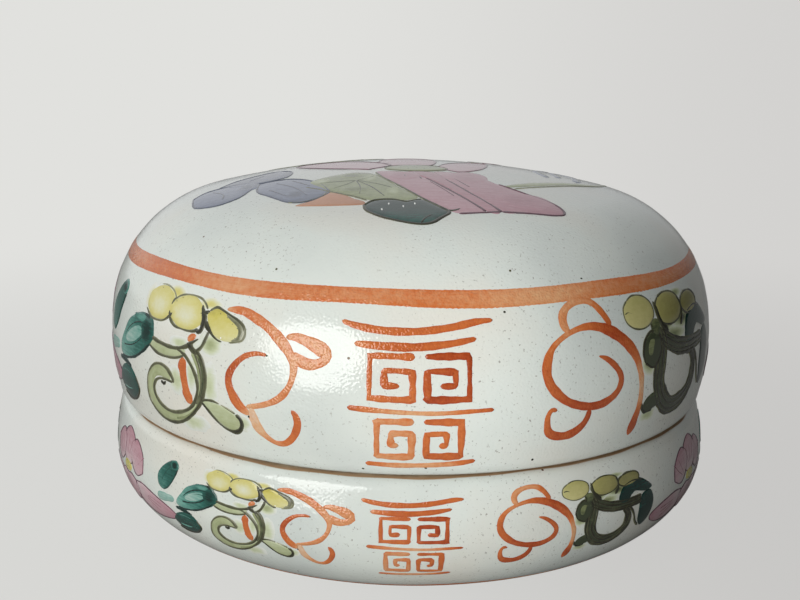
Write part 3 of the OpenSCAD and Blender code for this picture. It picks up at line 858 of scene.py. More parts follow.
def paintFruits(at):
    # three yellow peaches over a curling green vine, with two dabs of iron red behind it
    addStroke(at, "ironRed", [(-37.5, 13.7, 0.7, 0.5), (-36.6, 14.2, 0.95, 0.5), (-35.6, 14.5, 0.6, 0.5)])
    addStroke(at, "ironRed", [(-38.3, 11.6, 1.68, 0.62), (-38.2, 9.8, 1.89, 0.62), (-37.6, 7.8, 1.89, 0.56),
                              (-36.7, 5.9, 1.54, 0.54)])
    addWashes(at, "green", (-32.3, 13.9, 2.6, 1.5, 0.62), (-39.3, 13.2, 2.8, 0.9, 0.36),
              (-39.9, 8.6, 2.5, 1.9, 0.4), (-32.3, 9.0, 1.9, 3.2, 0.36), (-36.6, 3.6, 3.8, 1.3, 0.34),
              (-25.9, 5.1, 1.5, 1.1, 0.4), (-36.1, 9.8, 1.5, 2.6, 0.36))
    addWashes(at, "yellow", (-42.4, 18.8, 2.8, 0.9, 0.7), (-33.8, 18.3, 2.9, 0.75, 0.62),
              (-49.5, 17.4, 2.0, 1.8, 0.4))
    addFill(at, "yellow", oval(-46.3, 17.2, 4.1, 2.05), 0.6, 0.0, toward=(0.1, -1), lift=0.09, edge=0.64)
    addFill(at, "yellow", oval(-38.8, 16.9, 4.2, 2.0), 0.56, -0.1, toward=(-0.2, -1), lift=0.09, edge=0.64)
    peach = [(-34, 17.1), (-33.2, 17.7), (-32, 18.05), (-30, 17.6), (-28.2, 17.1), (-26.9, 16.6),
             (-26.2, 15.9), (-26.6, 15.1), (-28, 14.6), (-30, 14.5), (-31.6, 14.8), (-33, 15.7)]
    addFill(at, "yellow", peach, 0.9, 0.36, toward=(0.3, -1), lift=0.09)
    addStroke(at, "outline", [(-30, 17.5, 0.3, 0.3), (-28.6, 17.0, 0.9, 0.36), (-27.2, 16.4, 1.3, 0.42),
                              (-26.8, 15.7, 1.2, 0.36), (-27.2, 15.0, 0.9, 0.3), (-28.4, 14.7, 0.3, 0.2)],
              lift=0.1)
    addDots(at, "outline", (0.16, 0.14, 0.25, -0.05), (0.6, 0.5), (-31.3, 17.5), (-29.8, 17.2), (-28.6, 16.6),
            (-27.6, 16.2), (-27.1, 15.4), (-27.8, 15.1), (-46.9, 18.9), (-40.6, 18.4))
    # a white dot on the right peach: a painted highlight
    addStroke(at, "white", [(-30.6, 14.85, 0.45, 0.8), (-30.2, 14.85, 0.45, 0.8)], lift=0.12)

    stem = [(-36.1, 12.8, 1.6, 0.6), (-34.9, 11.6, 1.6, 0.72), (-34.2, 10.4, 1.4, 0.72),
            (-34, 9.2, 1.3, 0.68), (-34.2, 8, 1.2, 0.66), (-34.8, 6.7, 1.1, 0.52), (-36, 5.5, 1.1, 0.5),
            (-38, 4.3, 1.2, 0.54), (-40, 3.5, 1.3, 0.6), (-42.2, 3.3, 1.5, 0.62), (-44.5, 3.5, 1.7, 0.62),
            (-46.5, 4.3, 1.9, 0.58), (-47.6, 5.5, 1.75, 0.56), (-47.5, 6.9, 1.6, 0.6), (-46.8, 8.1, 1.6, 0.6),
            (-45.5, 8.9, 1.7, 0.62), (-43.9, 9.05, 1.6, 0.6), (-42.4, 8.75, 1.3, 0.56),
            (-41.4, 8.3, 0.9, 0.6)]
    branch = [(-47.8, 12.2, 0.9, 0.5), (-45, 11.8, 1.3, 0.54), (-42.5, 11.75, 1.25, 0.54),
              (-40, 11.9, 1.1, 0.5), (-37.8, 12.4, 1.0, 0.5)]
    twig = [(-36.2, 13.1, 1.0, 0.14), (-34.9, 13.6, 1.2, 0.12), (-34, 14.6, 1.0, 0.12),
            (-33.7, 15.3, 0.8, 0.12)]
    for points in (stem, branch, twig):
        addStroke(at, "green", points, lift=0.05, wobble=0.03)
    addStroke(at, "green", [(-35.2, 12.4, 0.6, 0.9), (-34, 11.2, 0.8, 1.0), (-33.6, 9.6, 0.9, 1.0),
                            (-33.8, 8, 0.8, 1.0), (-34.6, 6.5, 0.7, 0.95), (-36.2, 5.1, 0.5, 0.85),
                            (-38.4, 4, 0.5, 0.8), (-41, 3.3, 0.5, 0.8)], lift=0.07)
    leaf = [(-34, 6.8), (-32, 7.0), (-30, 6.75), (-28, 6.2), (-26.6, 5.5), (-26.5, 4.5), (-27.6, 3.95),
            (-29, 4.0), (-30.8, 4.6), (-32.5, 5.7)]
    addFill(at, "green", leaf, 0.4, 0.6)

    lines = [
        # the vine's inner line, from the branch round to the tip of the curl
        [(-40.2, 12.4, 0.24, 0.48), (-38.8, 12.2, 0.49, 0.58), (-37.5, 11.7, 0.61, 0.6),
         (-36.1, 10.75, 0.68, 0.6), (-35.2, 9.7, 0.73, 0.58), (-34.8, 8.5, 0.73, 0.6),
         (-35.1, 7.2, 0.68, 0.63), (-36, 6.05, 0.65, 0.68), (-37.4, 5.15, 0.61, 0.63),
         (-39.3, 4.5, 0.57, 0.58), (-41.5, 4.1, 0.57, 0.58), (-43.5, 4.15, 0.61, 0.58),
         (-45.2, 4.65, 0.73, 0.58), (-46.3, 5.5, 0.85, 0.6), (-46.5, 6.4, 0.68, 0.58),
         (-46, 7.25, 0.55, 0.53), (-45, 7.85, 0.43, 0.48), (-43.6, 8.12, 0.42, 0.53),
         (-42.2, 8.15, 0.42, 0.63), (-40.8, 8.05, 0.38, 0.58)],
        # its outer line
        [(-35.5, 12.9, 0.61, 0.68), (-34.3, 12.1, 0.73, 0.63), (-33.5, 11, 0.77, 0.6),
         (-33.2, 9.8, 0.85, 0.6), (-33.3, 8.6, 0.81, 0.6), (-33.9, 7.2, 0.73, 0.68), (-35, 5.9, 0.65, 0.68),
         (-36.7, 4.6, 0.61, 0.64), (-38.7, 3.5, 0.61, 0.68), (-41, 2.8, 0.61, 0.68),
         (-43.3, 2.55, 0.61, 0.66), (-45.5, 2.8, 0.57, 0.58), (-47.2, 3.5, 0.51, 0.56),
         (-48.4, 4.4, 0.49, 0.52), (-48.8, 5.5, 0.46, 0.48), (-48.6, 6.7, 0.38, 0.43),
         (-48.2, 7.8, 0.38, 0.43), (-47.3, 8.8, 0.38, 0.48), (-45.9, 9.6, 0.43, 0.5),
         (-44.2, 9.9, 0.49, 0.53), (-42.6, 9.65, 0.61, 0.5), (-41.5, 9.1, 0.81, 0.5),
         (-40.8, 8.5, 0.77, 0.54), (-40.6, 8.0, 0.45, 0.58)],
        # and one down the middle of its stem
        [(-35.7, 12.5, 0.61, 0.58), (-34.7, 11.4, 0.51, 0.5), (-34.1, 10.2, 0.45, 0.48),
         (-34, 8.9, 0.42, 0.48), (-34.4, 7.5, 0.42, 0.54), (-35.4, 6.1, 0.38, 0.48)],
        # the branch to the teal leaf
        [(-47.2, 12.85, 0.49, 0.68), (-45.5, 12.6, 0.61, 0.63), (-43.5, 12.45, 0.61, 0.63),
         (-41.5, 12.38, 0.58, 0.58), (-39.8, 12.5, 0.55, 0.63), (-38.3, 12.8, 0.65, 0.68),
         (-37, 13.2, 0.73, 0.73)],
        [(-47.9, 11.9, 0.38, 0.63), (-46.5, 11.45, 0.51, 0.63), (-44.5, 11.1, 0.49, 0.6),
         (-42, 11.1, 0.42, 0.53), (-40, 11.3, 0.38, 0.53), (-38.5, 11.7, 0.42, 0.58),
         (-37.7, 12.1, 0.38, 0.58)],
        # the knot and the twig up to the right peach
        [(-37.6, 13.4, 0.55, 0.78), (-36.8, 13.15, 1.05, 0.76), (-35.9, 12.7, 0.92, 0.68),
         (-35, 12.3, 0.68, 0.63)],
        [(-37.4, 13.2, 0.73, 0.78), (-36.6, 13.5, 0.61, 0.73), (-35.7, 13.9, 0.38, 0.68),
         (-35, 14.2, 0.17, 0.58)],
        [(-35.4, 12.7, 0.57, 0.63), (-34.4, 13.2, 0.61, 0.6), (-33.8, 13.9, 0.61, 0.6),
         (-33.4, 14.6, 0.57, 0.63), (-33, 15.3, 0.49, 0.68)],
        # the little leaf
        [(-34.3, 6.8, 0.61, 0.78), (-33.2, 7.05, 0.45, 0.68), (-31.8, 7.15, 0.38, 0.58),
         (-30.4, 6.95, 0.17, 0.38)],
        [(-30.1, 6.9, 0.12, 0.18), (-28.6, 6.5, 0.3, 0.33), (-27.4, 6.1, 0.43, 0.58)],
        [(-34.2, 6.7, 0.61, 0.78), (-33.2, 6.1, 0.61, 0.73), (-31.9, 5.2, 0.55, 0.68),
         (-30.3, 4.3, 0.49, 0.68), (-28.8, 3.85, 0.49, 0.73), (-27.6, 3.8, 0.69, 0.78),
         (-26.7, 4.2, 0.77, 0.83), (-26.3, 4.9, 0.77, 0.83), (-26.6, 5.6, 0.73, 0.83),
         (-27.4, 6.0, 0.55, 0.73)],
        # left peach
        [(-50.2, 16.1, 0.26, 0.47), (-49.3, 15.6, 0.44, 0.57), (-48.2, 15.2, 0.44, 0.52),
         (-46.5, 15.1, 0.34, 0.42), (-44.8, 15.2, 0.35, 0.47), (-43.6, 15.6, 0.44, 0.62),
         (-42.9, 16.1, 0.44, 0.72)],
        [(-47.5, 19.25, 0.18, 0.12), (-46, 19.32, 0.25, 0.17), (-44.2, 19.1, 0.25, 0.17),
         (-43, 18.7, 0.25, 0.22), (-42.1, 18.1, 0.25, 0.32)],
        # middle peach
        [(-42.3, 18.2, 0.35, 0.42), (-42.9, 17.5, 0.61, 0.57), (-43.1, 16.7, 0.62, 0.64),
         (-42.8, 16.0, 0.66, 0.7), (-42.1, 15.4, 0.51, 0.64), (-41, 15.0, 0.44, 0.62),
         (-39.5, 14.9, 0.34, 0.57), (-37.8, 14.85, 0.34, 0.57), (-36.4, 14.95, 0.4, 0.62),
         (-35.5, 15.3, 0.55, 0.72)],
        [(-42.4, 18.0, 0.31, 0.32), (-41.4, 18.5, 0.31, 0.34), (-40, 18.8, 0.31, 0.34),
         (-38, 18.9, 0.27, 0.27), (-36.2, 18.75, 0.31, 0.37), (-34.9, 18.3, 0.35, 0.42),
         (-34.1, 17.7, 0.4, 0.52)],
        [(-43, 16.0, 0.66, 0.77), (-42.3, 16.3, 0.61, 0.77), (-41.6, 16.9, 0.27, 0.72)],
        [(-41.9, 18.0, 0.34, 0.52), (-41.4, 17.5, 0.2, 0.42)],
        # the blot where the middle and right peaches meet
        [(-35.4, 18.1, 0.27, 0.62), (-35.1, 17.4, 0.77, 0.82), (-34.5, 16.6, 1.22, 0.87),
         (-34.6, 15.7, 0.88, 0.87), (-35, 15.1, 0.66, 0.82), (-35.9, 14.95, 0.44, 0.77)],
        [(-36.3, 17.1, 0.17, 0.67), (-35.3, 17.15, 0.49, 0.82), (-34.4, 17.3, 0.55, 0.82),
         (-33.5, 17.5, 0.47, 0.72)],
        [(-34.4, 16.4, 0.77, 0.87), (-33.6, 15.9, 0.83, 0.82), (-32.8, 15.4, 0.66, 0.77),
         (-32.1, 14.9, 0.39, 0.72), (-31, 14.5, 0.31, 0.67), (-30.2, 14.4, 0.22, 0.62)],
        # right peach
        [(-33.6, 17.6, 0.34, 0.52), (-32.7, 18.0, 0.39, 0.57), (-32, 18.12, 0.39, 0.62),
         (-30.6, 17.82, 0.34, 0.68), (-29.2, 17.46, 0.4, 0.72), (-27.8, 17.05, 0.49, 0.72),
         (-26.8, 16.65, 0.55, 0.58), (-26.15, 16.1, 0.47, 0.42), (-26, 15.5, 0.35, 0.32),
         (-26.4, 14.95, 0.34, 0.34), (-27.5, 14.65, 0.26, 0.32), (-28.8, 14.45, 0.22, 0.27)],
        # drops of ink in the curl
        [(-44.1, 7.75, 0.34, 0.95), (-43.4, 7.5, 0.56, 1.1), (-42.7, 7.85, 0.4, 0.9)],
        [(-43.6, 8.05, 0.3, 0.8), (-42.2, 8.15, 0.26, 0.55)]]
    for points in lines:
        addStroke(at, "outline", points, lift=0.085, wobble=0.1, step=0.25)


def paintLeaves(at):
    # teal leaves behind the vine: a broad folded one, a long one above it and a dark one below
    broad = [(-46.8, 13.2), (-48.2, 15.1), (-51, 15.4), (-54, 14.8), (-57, 13.5), (-58.8, 11.8), (-60.5, 10),
             (-60.5, 8.7), (-57.5, 8.5), (-54, 9), (-51, 9.9), (-48.5, 11.4)]
    addFill(at, "teal", broad, 0.42, 0.92, toward=(1, 0.1), lift=0.08)
    addFill(at, "teal", [(-49.8, 12.9), (-51, 13.8), (-54, 13.2), (-56.5, 12.1), (-57.8, 11.1), (-57, 10.6),
                         (-54.8, 10.8), (-52.5, 11.4)], 0.24, 0.5, toward=(1, 0), lift=0.09)
    addWashes(at, "teal", (-51.6, 14.6, 2.8, 0.6, 0.55), edge=0.74, lift=0.095)
    addWashes(at, "teal", (-48.9, 13.2, 2.4, 2.1, 1.02), edge=0.82, lift=0.1)
    long = [(-60.4, 17.2), (-61.8, 18.1), (-64, 17.6), (-67, 15.8), (-69, 13.5), (-68.5, 11.3), (-66, 10.6),
            (-63.8, 11.8), (-61.8, 14.2), (-60.8, 16)]
    addFill(at, "teal", long, 0.66, 0.92, toward=(1, 0.5), lift=0.08)
    addWashes(at, "teal", (-62, 17.0, 1.7, 1.1, 1.15), edge=0.62, lift=0.09)
    addStroke(at, "teal", [(-61.5, 9.5, 1.2, 0.4), (-65, 9.1, 1.8, 0.36), (-69, 8.6, 1.8, 0.4)], lift=0.07)
    dark = [(-52.3, 5.1), (-53.4, 6.6), (-55.5, 7.6), (-58.5, 7.4), (-61.5, 6.2), (-63, 4.6), (-61.5, 3.2),
            (-58.5, 2.6), (-55.5, 2.9), (-53.3, 3.9)]
    addFill(at, "teal", dark, 0.84, 1.02, lift=0.08)
    strokes = [
        [(-48.6, 14.1, 0.5, 1.1), (-51, 14.1, 0.46, 1.05), (-53.8, 13.6, 0.46, 1.05),
         (-56.3, 12.5, 0.42, 1.0), (-58, 11.2, 0.35, 0.95)],
        [(-58.4, 10.1, 0.5, 0.95), (-56, 10.35, 0.46, 1.05), (-53.8, 10.8, 0.46, 1.05),
         (-51.6, 11.6, 0.46, 1.1), (-49.8, 12.7, 0.5, 1.1)],
        [(-54, 12.7, 0.14, 0.8), (-52, 13.05, 0.28, 0.9), (-50, 12.9, 0.3, 1.0)],
        [(-47.4, 12.3, 0.5, 1.1), (-48.8, 11.2, 0.5, 1.1), (-51, 10.1, 0.46, 1.05), (-53.5, 9.2, 0.42, 1.05),
         (-56.5, 8.6, 0.46, 1.05), (-60, 8.2, 0.6, 1.0)],
        [(-47, 13.3, 0.5, 1.1), (-47.6, 14.2, 0.5, 1.1), (-49, 15.0, 0.5, 1.1), (-50.5, 15.3, 0.3, 1.0)],
        [(-60.6, 16.4, 0.3, 1.0), (-61.8, 14.4, 0.35, 0.95), (-63.8, 12.0, 0.35, 0.9), (-66, 10.8, 0.4, 0.9)],
        [(-63, 16.8, 0.3, 0.95), (-65.5, 14.5, 0.3, 0.9), (-66.8, 12.4, 0.3, 0.9)],
        [(-61, 8.0, 0.7, 1.1), (-58, 7.9, 0.8, 1.1), (-55, 7.6, 0.5, 1.1)]]
    for points in strokes:
        addStroke(at, "teal", points, lift=0.1, wobble=0.1)
    addStroke(at, "teal", [(-60.8, 4.0, 0.4, 0.5), (-58, 4.1, 0.66, 0.5), (-55.6, 4.4, 0.4, 0.6)], lift=0.1)
    addStroke(at, "teal", [(-60, 6.4, 0.25, 0.7), (-57.5, 6.7, 0.35, 0.66), (-55.4, 6.5, 0.25, 0.7)],
              lift=0.1)
    addStroke(at, "outline", [(-61.5, 3.0, 0.4, 0.9), (-58.5, 2.6, 0.5, 0.95), (-55.3, 3.1, 0.5, 0.95),
                              (-53.2, 4.2, 0.5, 0.95), (-52.5, 5.2, 0.42, 0.9), (-53.6, 6.5, 0.3, 0.8)],
              lift=0.1, wobble=0.1)


def paintTendrils(at):
    # the right-hand group: the same peaches, in olive yellow darkened as painted shade, over a dark ring of
    # vine, with ink-green leaves
    addWashes(at, "green", (46.5, 15.3, 3.6, 1.6, 0.9), (41.4, 11.2, 2.2, 1.8, 0.75),
              (53, 15.4, 4.5, 1.4, 0.95), (49, 13.8, 5, 1.3, 0.85), (42, 4.6, 2.6, 1.0, 0.5),
              (52.5, 18.5, 3, 0.7, 0.7))
    # the peaches' fills: olive yellow, darker than the left-hand peaches as painted shade on this side
    addFill(at, "olive", oval(57, 16.9, 3.8, 1.4), 0.9, 0.8, lift=0.085)
    addFill(at, "olive", oval(48.9, 17.1, 4.3, 1.95), 0.5, 0.85, toward=(1, -0.3), lift=0.095)
    addFill(at, "olive", oval(40.3, 17.45, 3.8, 1.95), 0.12, 0.42, toward=(0.3, 1), lift=0.1)
    for x, y, halfWide, halfTall, width, wash in ((40.3, 17.45, 3.8, 1.95, 0.26, 0.6),
                                                  (48.9, 17.1, 4.3, 1.95, 0.34, 0.66),
                                                  (57, 16.9, 3.8, 1.4, 0.4, 0.7)):
        addLoop(at, "outline", oval(x, y, halfWide, halfTall, uneven=0.02), width, wash, first=5)
    vine = [(44.9, 15.2, 1.4, 1.0), (45.2, 13.6, 2.3, 1.1), (44.9, 12, 2.5, 1.1), (44.4, 10.2, 2.4, 1.05),
            (44.2, 8.6, 2.4, 1.05), (44.9, 7, 2.5, 1.1), (46.4, 5.6, 2.5, 1.1), (48.6, 4.7, 2.4, 1.1),
            (51.2, 4.6, 2.3, 1.05), (54, 5.2, 2.1, 1.0), (56, 6.6, 1.9, 1.0), (56.6, 8.2, 1.6, 1.0),
            (56.3, 9.8, 1.2, 1.0), (55, 11, 0.8, 1.0)]
    branch = [(45, 14.2, 1.9, 1.1), (47.5, 13.1, 2.2, 1.1), (50.5, 12.2, 2.1, 1.05), (54, 11.8, 2.0, 1.05),
              (58, 11.7, 1.8, 1.0), (61.5, 11.8, 1.4, 1.0)]
    for points in (vine, branch):
        addStroke(at, "green", points, lift=0.05, wobble=0.05)
        for side in (-0.44, -0.2, 0.12, 0.44):
            addStroke(at, "outline", drawn(beside(points, side * np.array(points)[:, 2]), 0.55, 0.8, 0.4),
                      lift=0.085, wobble=0.18, step=0.25)
    leaf = [(40.4, 11.4), (40.1, 12.8), (40.8, 14.2), (42.4, 15.0), (44.2, 14.8), (45, 13.4), (44.4, 11.7),
            (42.6, 10.6)]
    addFill(at, "green", leaf, 1.0, 1.1, lift=0.09)
    addFill(at, "green", [(41.2, 12.2), (41.2, 13.4), (42, 14.2), (43.2, 14.1), (42.8, 13), (42.2, 12)], 0.8,
            0.92, lift=0.1)
    addLoop(at, "outline", leaf, 0.42, 0.85)
    addFill(at, "green", [(42.6, 15.4), (43.4, 16.3), (44.8, 16.2), (45.2, 15.2), (44.6, 14.4), (43.4, 14.4)],
            0.9, 0.98, lift=0.1)
    addFill(at, "green", [(40.2, 5.6), (41, 6.8), (43, 7.4), (45, 7), (45.2, 5.8), (43.4, 5.2), (41, 4.8)],
            0.98, 1.1)
    addFill(at, "teal", [(53.2, 12.6), (53.8, 14.8), (55.6, 16.0), (58.5, 16.6), (62, 16), (66, 13.4),
                         (63, 12.9), (59.5, 13.8), (57.2, 13), (55.4, 11.6)], 1.05, 0.95, toward=(1, 0))
    addFill(at, "teal", [(60.5, 9.4), (61.6, 12.4), (65, 12.9), (66.6, 10.4), (65.4, 6.6), (62.6, 4.8),
                         (60.6, 6.6)], 0.95, 1.1)
    lines = [
        [(36.8, 17.5, 0.3, 0.6), (37.6, 17.65, 0.42, 0.6), (38.5, 17.4, 0.12, 0.5)],
        [(44.6, 18.3, 0.4, 0.7), (45, 17.2, 0.8, 0.8), (45.3, 16.2, 1.0, 0.85), (46.2, 15.2, 1.2, 0.9),
         (47.6, 14.2, 0.9, 0.9)],
        [(42.6, 15.9, 0.4, 0.8), (43.1, 15.2, 0.6, 0.85), (42.4, 14.6, 0.4, 0.8)],
        [(52.4, 18.2, 0.4, 0.7), (53.1, 17, 0.7, 0.8), (53, 15.8, 0.8, 0.85), (52, 14.6, 0.8, 0.9)],
        [(40.1, 6.4, 0.3, 0.85), (40.2, 5.7, 0.45, 0.9), (41.2, 5.1, 0.5, 0.9), (43, 5.1, 0.4, 0.85)],
        [(55, 10.4, 0.3, 0.8), (56.4, 11, 0.6, 0.85), (57.8, 10, 0.7, 0.85), (58.8, 8.4, 0.6, 0.8),
         (59.5, 6.8, 0.6, 0.7), (61, 5.3, 0.6, 0.6)],
        [(55.2, 15.9, 0.3, 0.85), (58.4, 16.3, 0.4, 0.85), (61.8, 15.8, 0.4, 0.85)]]
    for points in lines:
        addStroke(at, "outline", points, lift=0.11, wobble=0.15, step=0.25)


def paintFlower(at):
    # a rose-pink peony beside the teal leaves, petals laid pale at the root and deep at the rim
    petals = [
        ([(-99, 11), (-98.5, 15), (-94, 17.6), (-90.5, 15.6), (-91.5, 11.5), (-95, 9.6)], (-0.5, 1)),
        ([(-77, 11), (-77.5, 15), (-82, 17.6), (-85.5, 15.6), (-84.5, 11.5), (-81, 9.6)], (0.5, 1)),
        ([(-93, 12.5), (-92.5, 17), (-88, 19.2), (-83.5, 17), (-83, 12.5), (-88, 10.5)], (0, 1)),
        ([(-94, 8), (-99, 8.6), (-106, 7.8), (-110.5, 6.2), (-108, 4), (-101, 2.6), (-95, 4)], (-1, -0.2)),
        ([(-82, 8), (-77, 8.6), (-70, 7.8), (-63.5, 6.6), (-61.4, 5.2), (-65.5, 3.6), (-74, 2.4), (-81, 4)],
         (1, -0.2)),
        ([(-95.5, 7), (-91, 8.6), (-88, 8.2), (-85, 8.6), (-80.5, 7), (-82, 3.4), (-88, 1.9), (-94, 3.4)],
         (0, -1)),
    ]
    for outline, toward in petals:
        addFill(at, "rose", outline, 0.16, 0.6, toward=toward, lift=0.07)
        addLoop(at, "rose", outline, 0.28, 1.05)
        middle = np.mean(outline, axis=0)
        for spread in (-0.45, 0, 0.45):
            across = np.array([toward[1] * 6 * spread, -toward[0] * 2.4 * spread])
            reach = np.array([toward[0] * 4.6, toward[1] * 2.6])
            line = [middle - reach * 0.7 + across * 0.4, middle + across * 0.8,
                    middle + reach * 0.75 + across]
            addStroke(at, "rose", drawn(line, 0.22, 0.85), lift=0.09, wobble=0.1)
    addFill(at, "yellow", oval(-88, 10, 3.0, 1.4), 0.8, 0.6, lift=0.1)
    addDots(at, "outline", (0.4, 0.35, 0.5, 0.15), (0.6, 0.5), (-90, 10.4), (-88.6, 11), (-87, 10.8),
            (-86.2, 9.8), (-88, 9.6), (-89.6, 9.3))


def paintPond(at):
    # the crown: a lotus with folded petals, its leaves and pad, a scholar's rock and reeds at a pond's edge
    rocks = [
        ([(-27, -9), (-25, -5), (-20.5, -1.5), (-17.5, -3.5), (-17.5, -9), (-21, -11), (-24.5, -10.5)],
         0.88, 0.8),
        ([(-30, -12.5), (-28, -9.8), (-24, -9), (-21.4, -11), (-21.8, -15), (-23, -18.6), (-25.5, -19.6),
          (-28.8, -17.2)], 0.6, 0.8),
        ([(-21, -11.5), (-17, -10.8), (-13.4, -14), (-11.2, -18.5), (-10.8, -21.4), (-13, -24),
          (-15.5, -23.6), (-18, -20.5), (-20.5, -16.5)], 0.62, 0.86),
    ]
    for outline, washFrom, washTo in rocks:
        addFill(at, "blue", outline, washFrom, washTo, lift=0.06)
        addLoop(at, "blue", outline, 0.34, 1.05)
    addWashes(at, "blue", (-19.8, -5.5, 2.0, 4.2, 0.92), (-22.5, -12.5, 1.6, 3.2, 0.92),
              (-15, -20.5, 1.8, 2.6, 0.95), edge=0.72, lift=0.07)
    for line in ([(-27.5, -11.5), (-25.5, -14.5), (-25, -17.5)], [(-23.5, -10.5), (-22.5, -13.5)],
                 [(-18.5, -13), (-15.5, -17), (-13.4, -21.5)], [(-16.4, -12.5), (-13.4, -17)],
                 [(-23, -8), (-21, -4.5)], [(-19, -16.5), (-16, -21)]):
        addStroke(at, "blue", drawn(line, 0.5, 1.0), lift=0.08, wobble=0.15)
    addStroke(at, "outline", drawn([(-15.6, -23.7), (-13.4, -24), (-11.4, -22.4), (-10.9, -20.8)], 0.4, 0.5),
              lift=0.09)

    addFill(at, "salmon", [(-14.6, -25.2), (-12.5, -23.6), (-10.6, -20.8), (-8.6, -22.2), (-7.2, -24),
                           (-5.8, -25.4), (-6, -26.6), (-9.5, -26.5), (-12.5, -26)], 0.5, 0.75,
            toward=(1, -1), lift=0.05)
    leaf = [(-14.2, -15.5), (-12.5, -12.5), (-8.5, -10), (-5.5, -11), (-3.5, -15), (-1.5, -19.6),
            (0.9, -23.8), (-0.5, -25.2), (-4.8, -25.2), (-7.4, -23), (-9.5, -21.2), (-12, -18.6)]
    addFill(at, "green", leaf, 0.76, 0.68, toward=(1, -1), lift=0.07)
    addWashes(at, "green", (-12.2, -15, 1.5, 1.6, 0.45), (-2.3, -21.5, 1.2, 2.4, 0.5),
              (-5.6, -14.5, 1.2, 2.4, 0.5), (-8.2, -12.4, 1.8, 2.0, 0.9), (-7.4, -20.2, 2.2, 1.6, 0.88),
              edge=0.7, lift=0.08)
    for tip in ((-12.4, -16), (-10.2, -19.4), (-6.6, -22.6), (-3.4, -23.6), (-2.4, -20), (-5, -13.2)):
        vein = [(-7.4, -15.6), ((tip[0] - 7.4) / 2 + 0.3, (tip[1] - 15.6) / 2), tip]
        addStroke(at, "green", drawn(vein, 0.3, 0.98), lift=0.09)
    addStroke(at, "outline", drawn([(-14, -17.4), (-12, -19.2), (-9.6, -21.4), (-7.4, -23.2), (-5.6, -25)],
                                   0.4, 0.5), lift=0.09)

    upper = [
        [(-6, -8), (-12, -5), (-16.5, 0), (-17, 4), (-12, 4.5), (-6.5, 1), (-3, -4)],
        [(-3, -5), (-5, 1), (-3.5, 6.5), (0, 9), (3, 5.5), (3.5, 0), (2, -5)],
        [(3.5, -6), (5, -1), (8.5, 3.5), (11, 4), (11, -1), (9.5, -6), (6.5, -9)],
    ]
    for outline, toward in zip(upper, ((-1, 0.8), (0, 1), (0.8, 1))):
        addFill(at, "rose", outline, 0.3, 0.55, toward=toward, lift=0.06)
        addLoop(at, "rose", outline, 0.3, 1.0)
    left = [(-5, -9.5), (-1, -10), (1.8, -14), (4.8, -20), (8.9, -27.4), (8.2, -28.5), (6.2, -29.3),
            (4.4, -28.2), (1, -23.6), (-2, -18), (-4, -13.5)]
    right = [(3, -9.5), (8, -10.5), (11.6, -15.5), (15.4, -19.4), (18.2, -21.8), (19.2, -24.6), (17.9, -26),
             (14.2, -26.9), (11.1, -27.6), (7.8, -21.8), (4.6, -15)]
    narrow = [(-0.6, -9.8), (3, -10), (4.7, -15.2), (7.7, -21.7), (10.9, -27.5), (9.4, -28), (6, -22),
              (2.6, -15.4)]
    addFill(at, "rose", left, 0.56, 0.48, toward=(0.3, -1), lift=0.07)
    addFill(at, "rose", right, 0.52, 0.66, toward=(1, -0.6), lift=0.075)
    addFill(at, "rose", narrow, 0.66, 0.58, toward=(0.3, -1), lift=0.08)
    addWashes(at, "rose", (14, -22.4, 4.2, 3.4, 0.68), (7.5, -13, 3, 4, 0.66), (-1, -13, 2.4, 3.0, 0.66),
              edge=0.57, lift=0.09)
    folds = [
        [(1.9, -14.4, 0.3, 1.1), (4.7, -20, 0.5, 1.2), (9.1, -27.8, 0.55, 1.2)],
        [(4.4, -14.6, 0.35, 1.1), (7.6, -21.4, 0.5, 1.2), (11.1, -27.5, 0.55, 1.2)],
        [(5.6, -14, 0.3, 1.05), (7.6, -18.6, 0.3, 1.0)],
        [(-1, -12.4, 0.6, 1.1), (-0.9, -13.8, 0.5, 1.05)],
        [(1.1, -13.8, 0.5, 1.1), (1.3, -15, 0.4, 1.05)],
        [(2.4, -16.5, 0.2, 1.0), (5.4, -23, 0.24, 1.0)],
        [(11.1, -27.5, 0.6, 1.25), (14.4, -26.9, 0.4, 1.15), (18, -26, 0.4, 1.15), (19.2, -24.6, 0.36, 1.1),
         (18.2, -21.9, 0.36, 1.1), (15.4, -19.4, 0.3, 1.0), (11.6, -15.5, 0.26, 0.95)],
        [(5.8, -29.2, 0.5, 1.2), (8.2, -28.5, 0.4, 1.15), (11, -27.5, 0.45, 1.2)]]
    for points in folds:
        addStroke(at, "rose", points, lift=0.095, wobble=0.12)
    addStroke(at, "outline", [(-5, -10.5, 0.4, 0.5), (-3.9, -14, 0.4, 0.55), (-1.9, -18.2, 0.42, 0.6),
                              (1.1, -23.8, 0.45, 0.7), (3.4, -27, 0.5, 0.8), (4.5, -28.3, 0.5, 0.8)],
              lift=0.1, wobble=0.1)
    addStroke(at, "outline", [(4.3, -28.4, 0.45, 0.8), (5.3, -28.2, 0.55, 0.9), (6, -27.5, 0.3, 0.8)],
              lift=0.1)
    addFill(at, "green", oval(0.6, -6.9, 4.4, 2.7), 0.8, 0.6, lift=0.1)
    addLoop(at, "outline", oval(0.6, -6.9, 4.4, 2.7), 0.26, 0.6)
    addDots(at, "outline", (0.7, 0.6, 0.3, 0), (0.8, 0.8), (-1.8, -6.6), (0.2, -5.6), (2.4, -6.4), (-0.6, -8),
            (1.6, -8.1), (0.5, -6.9))

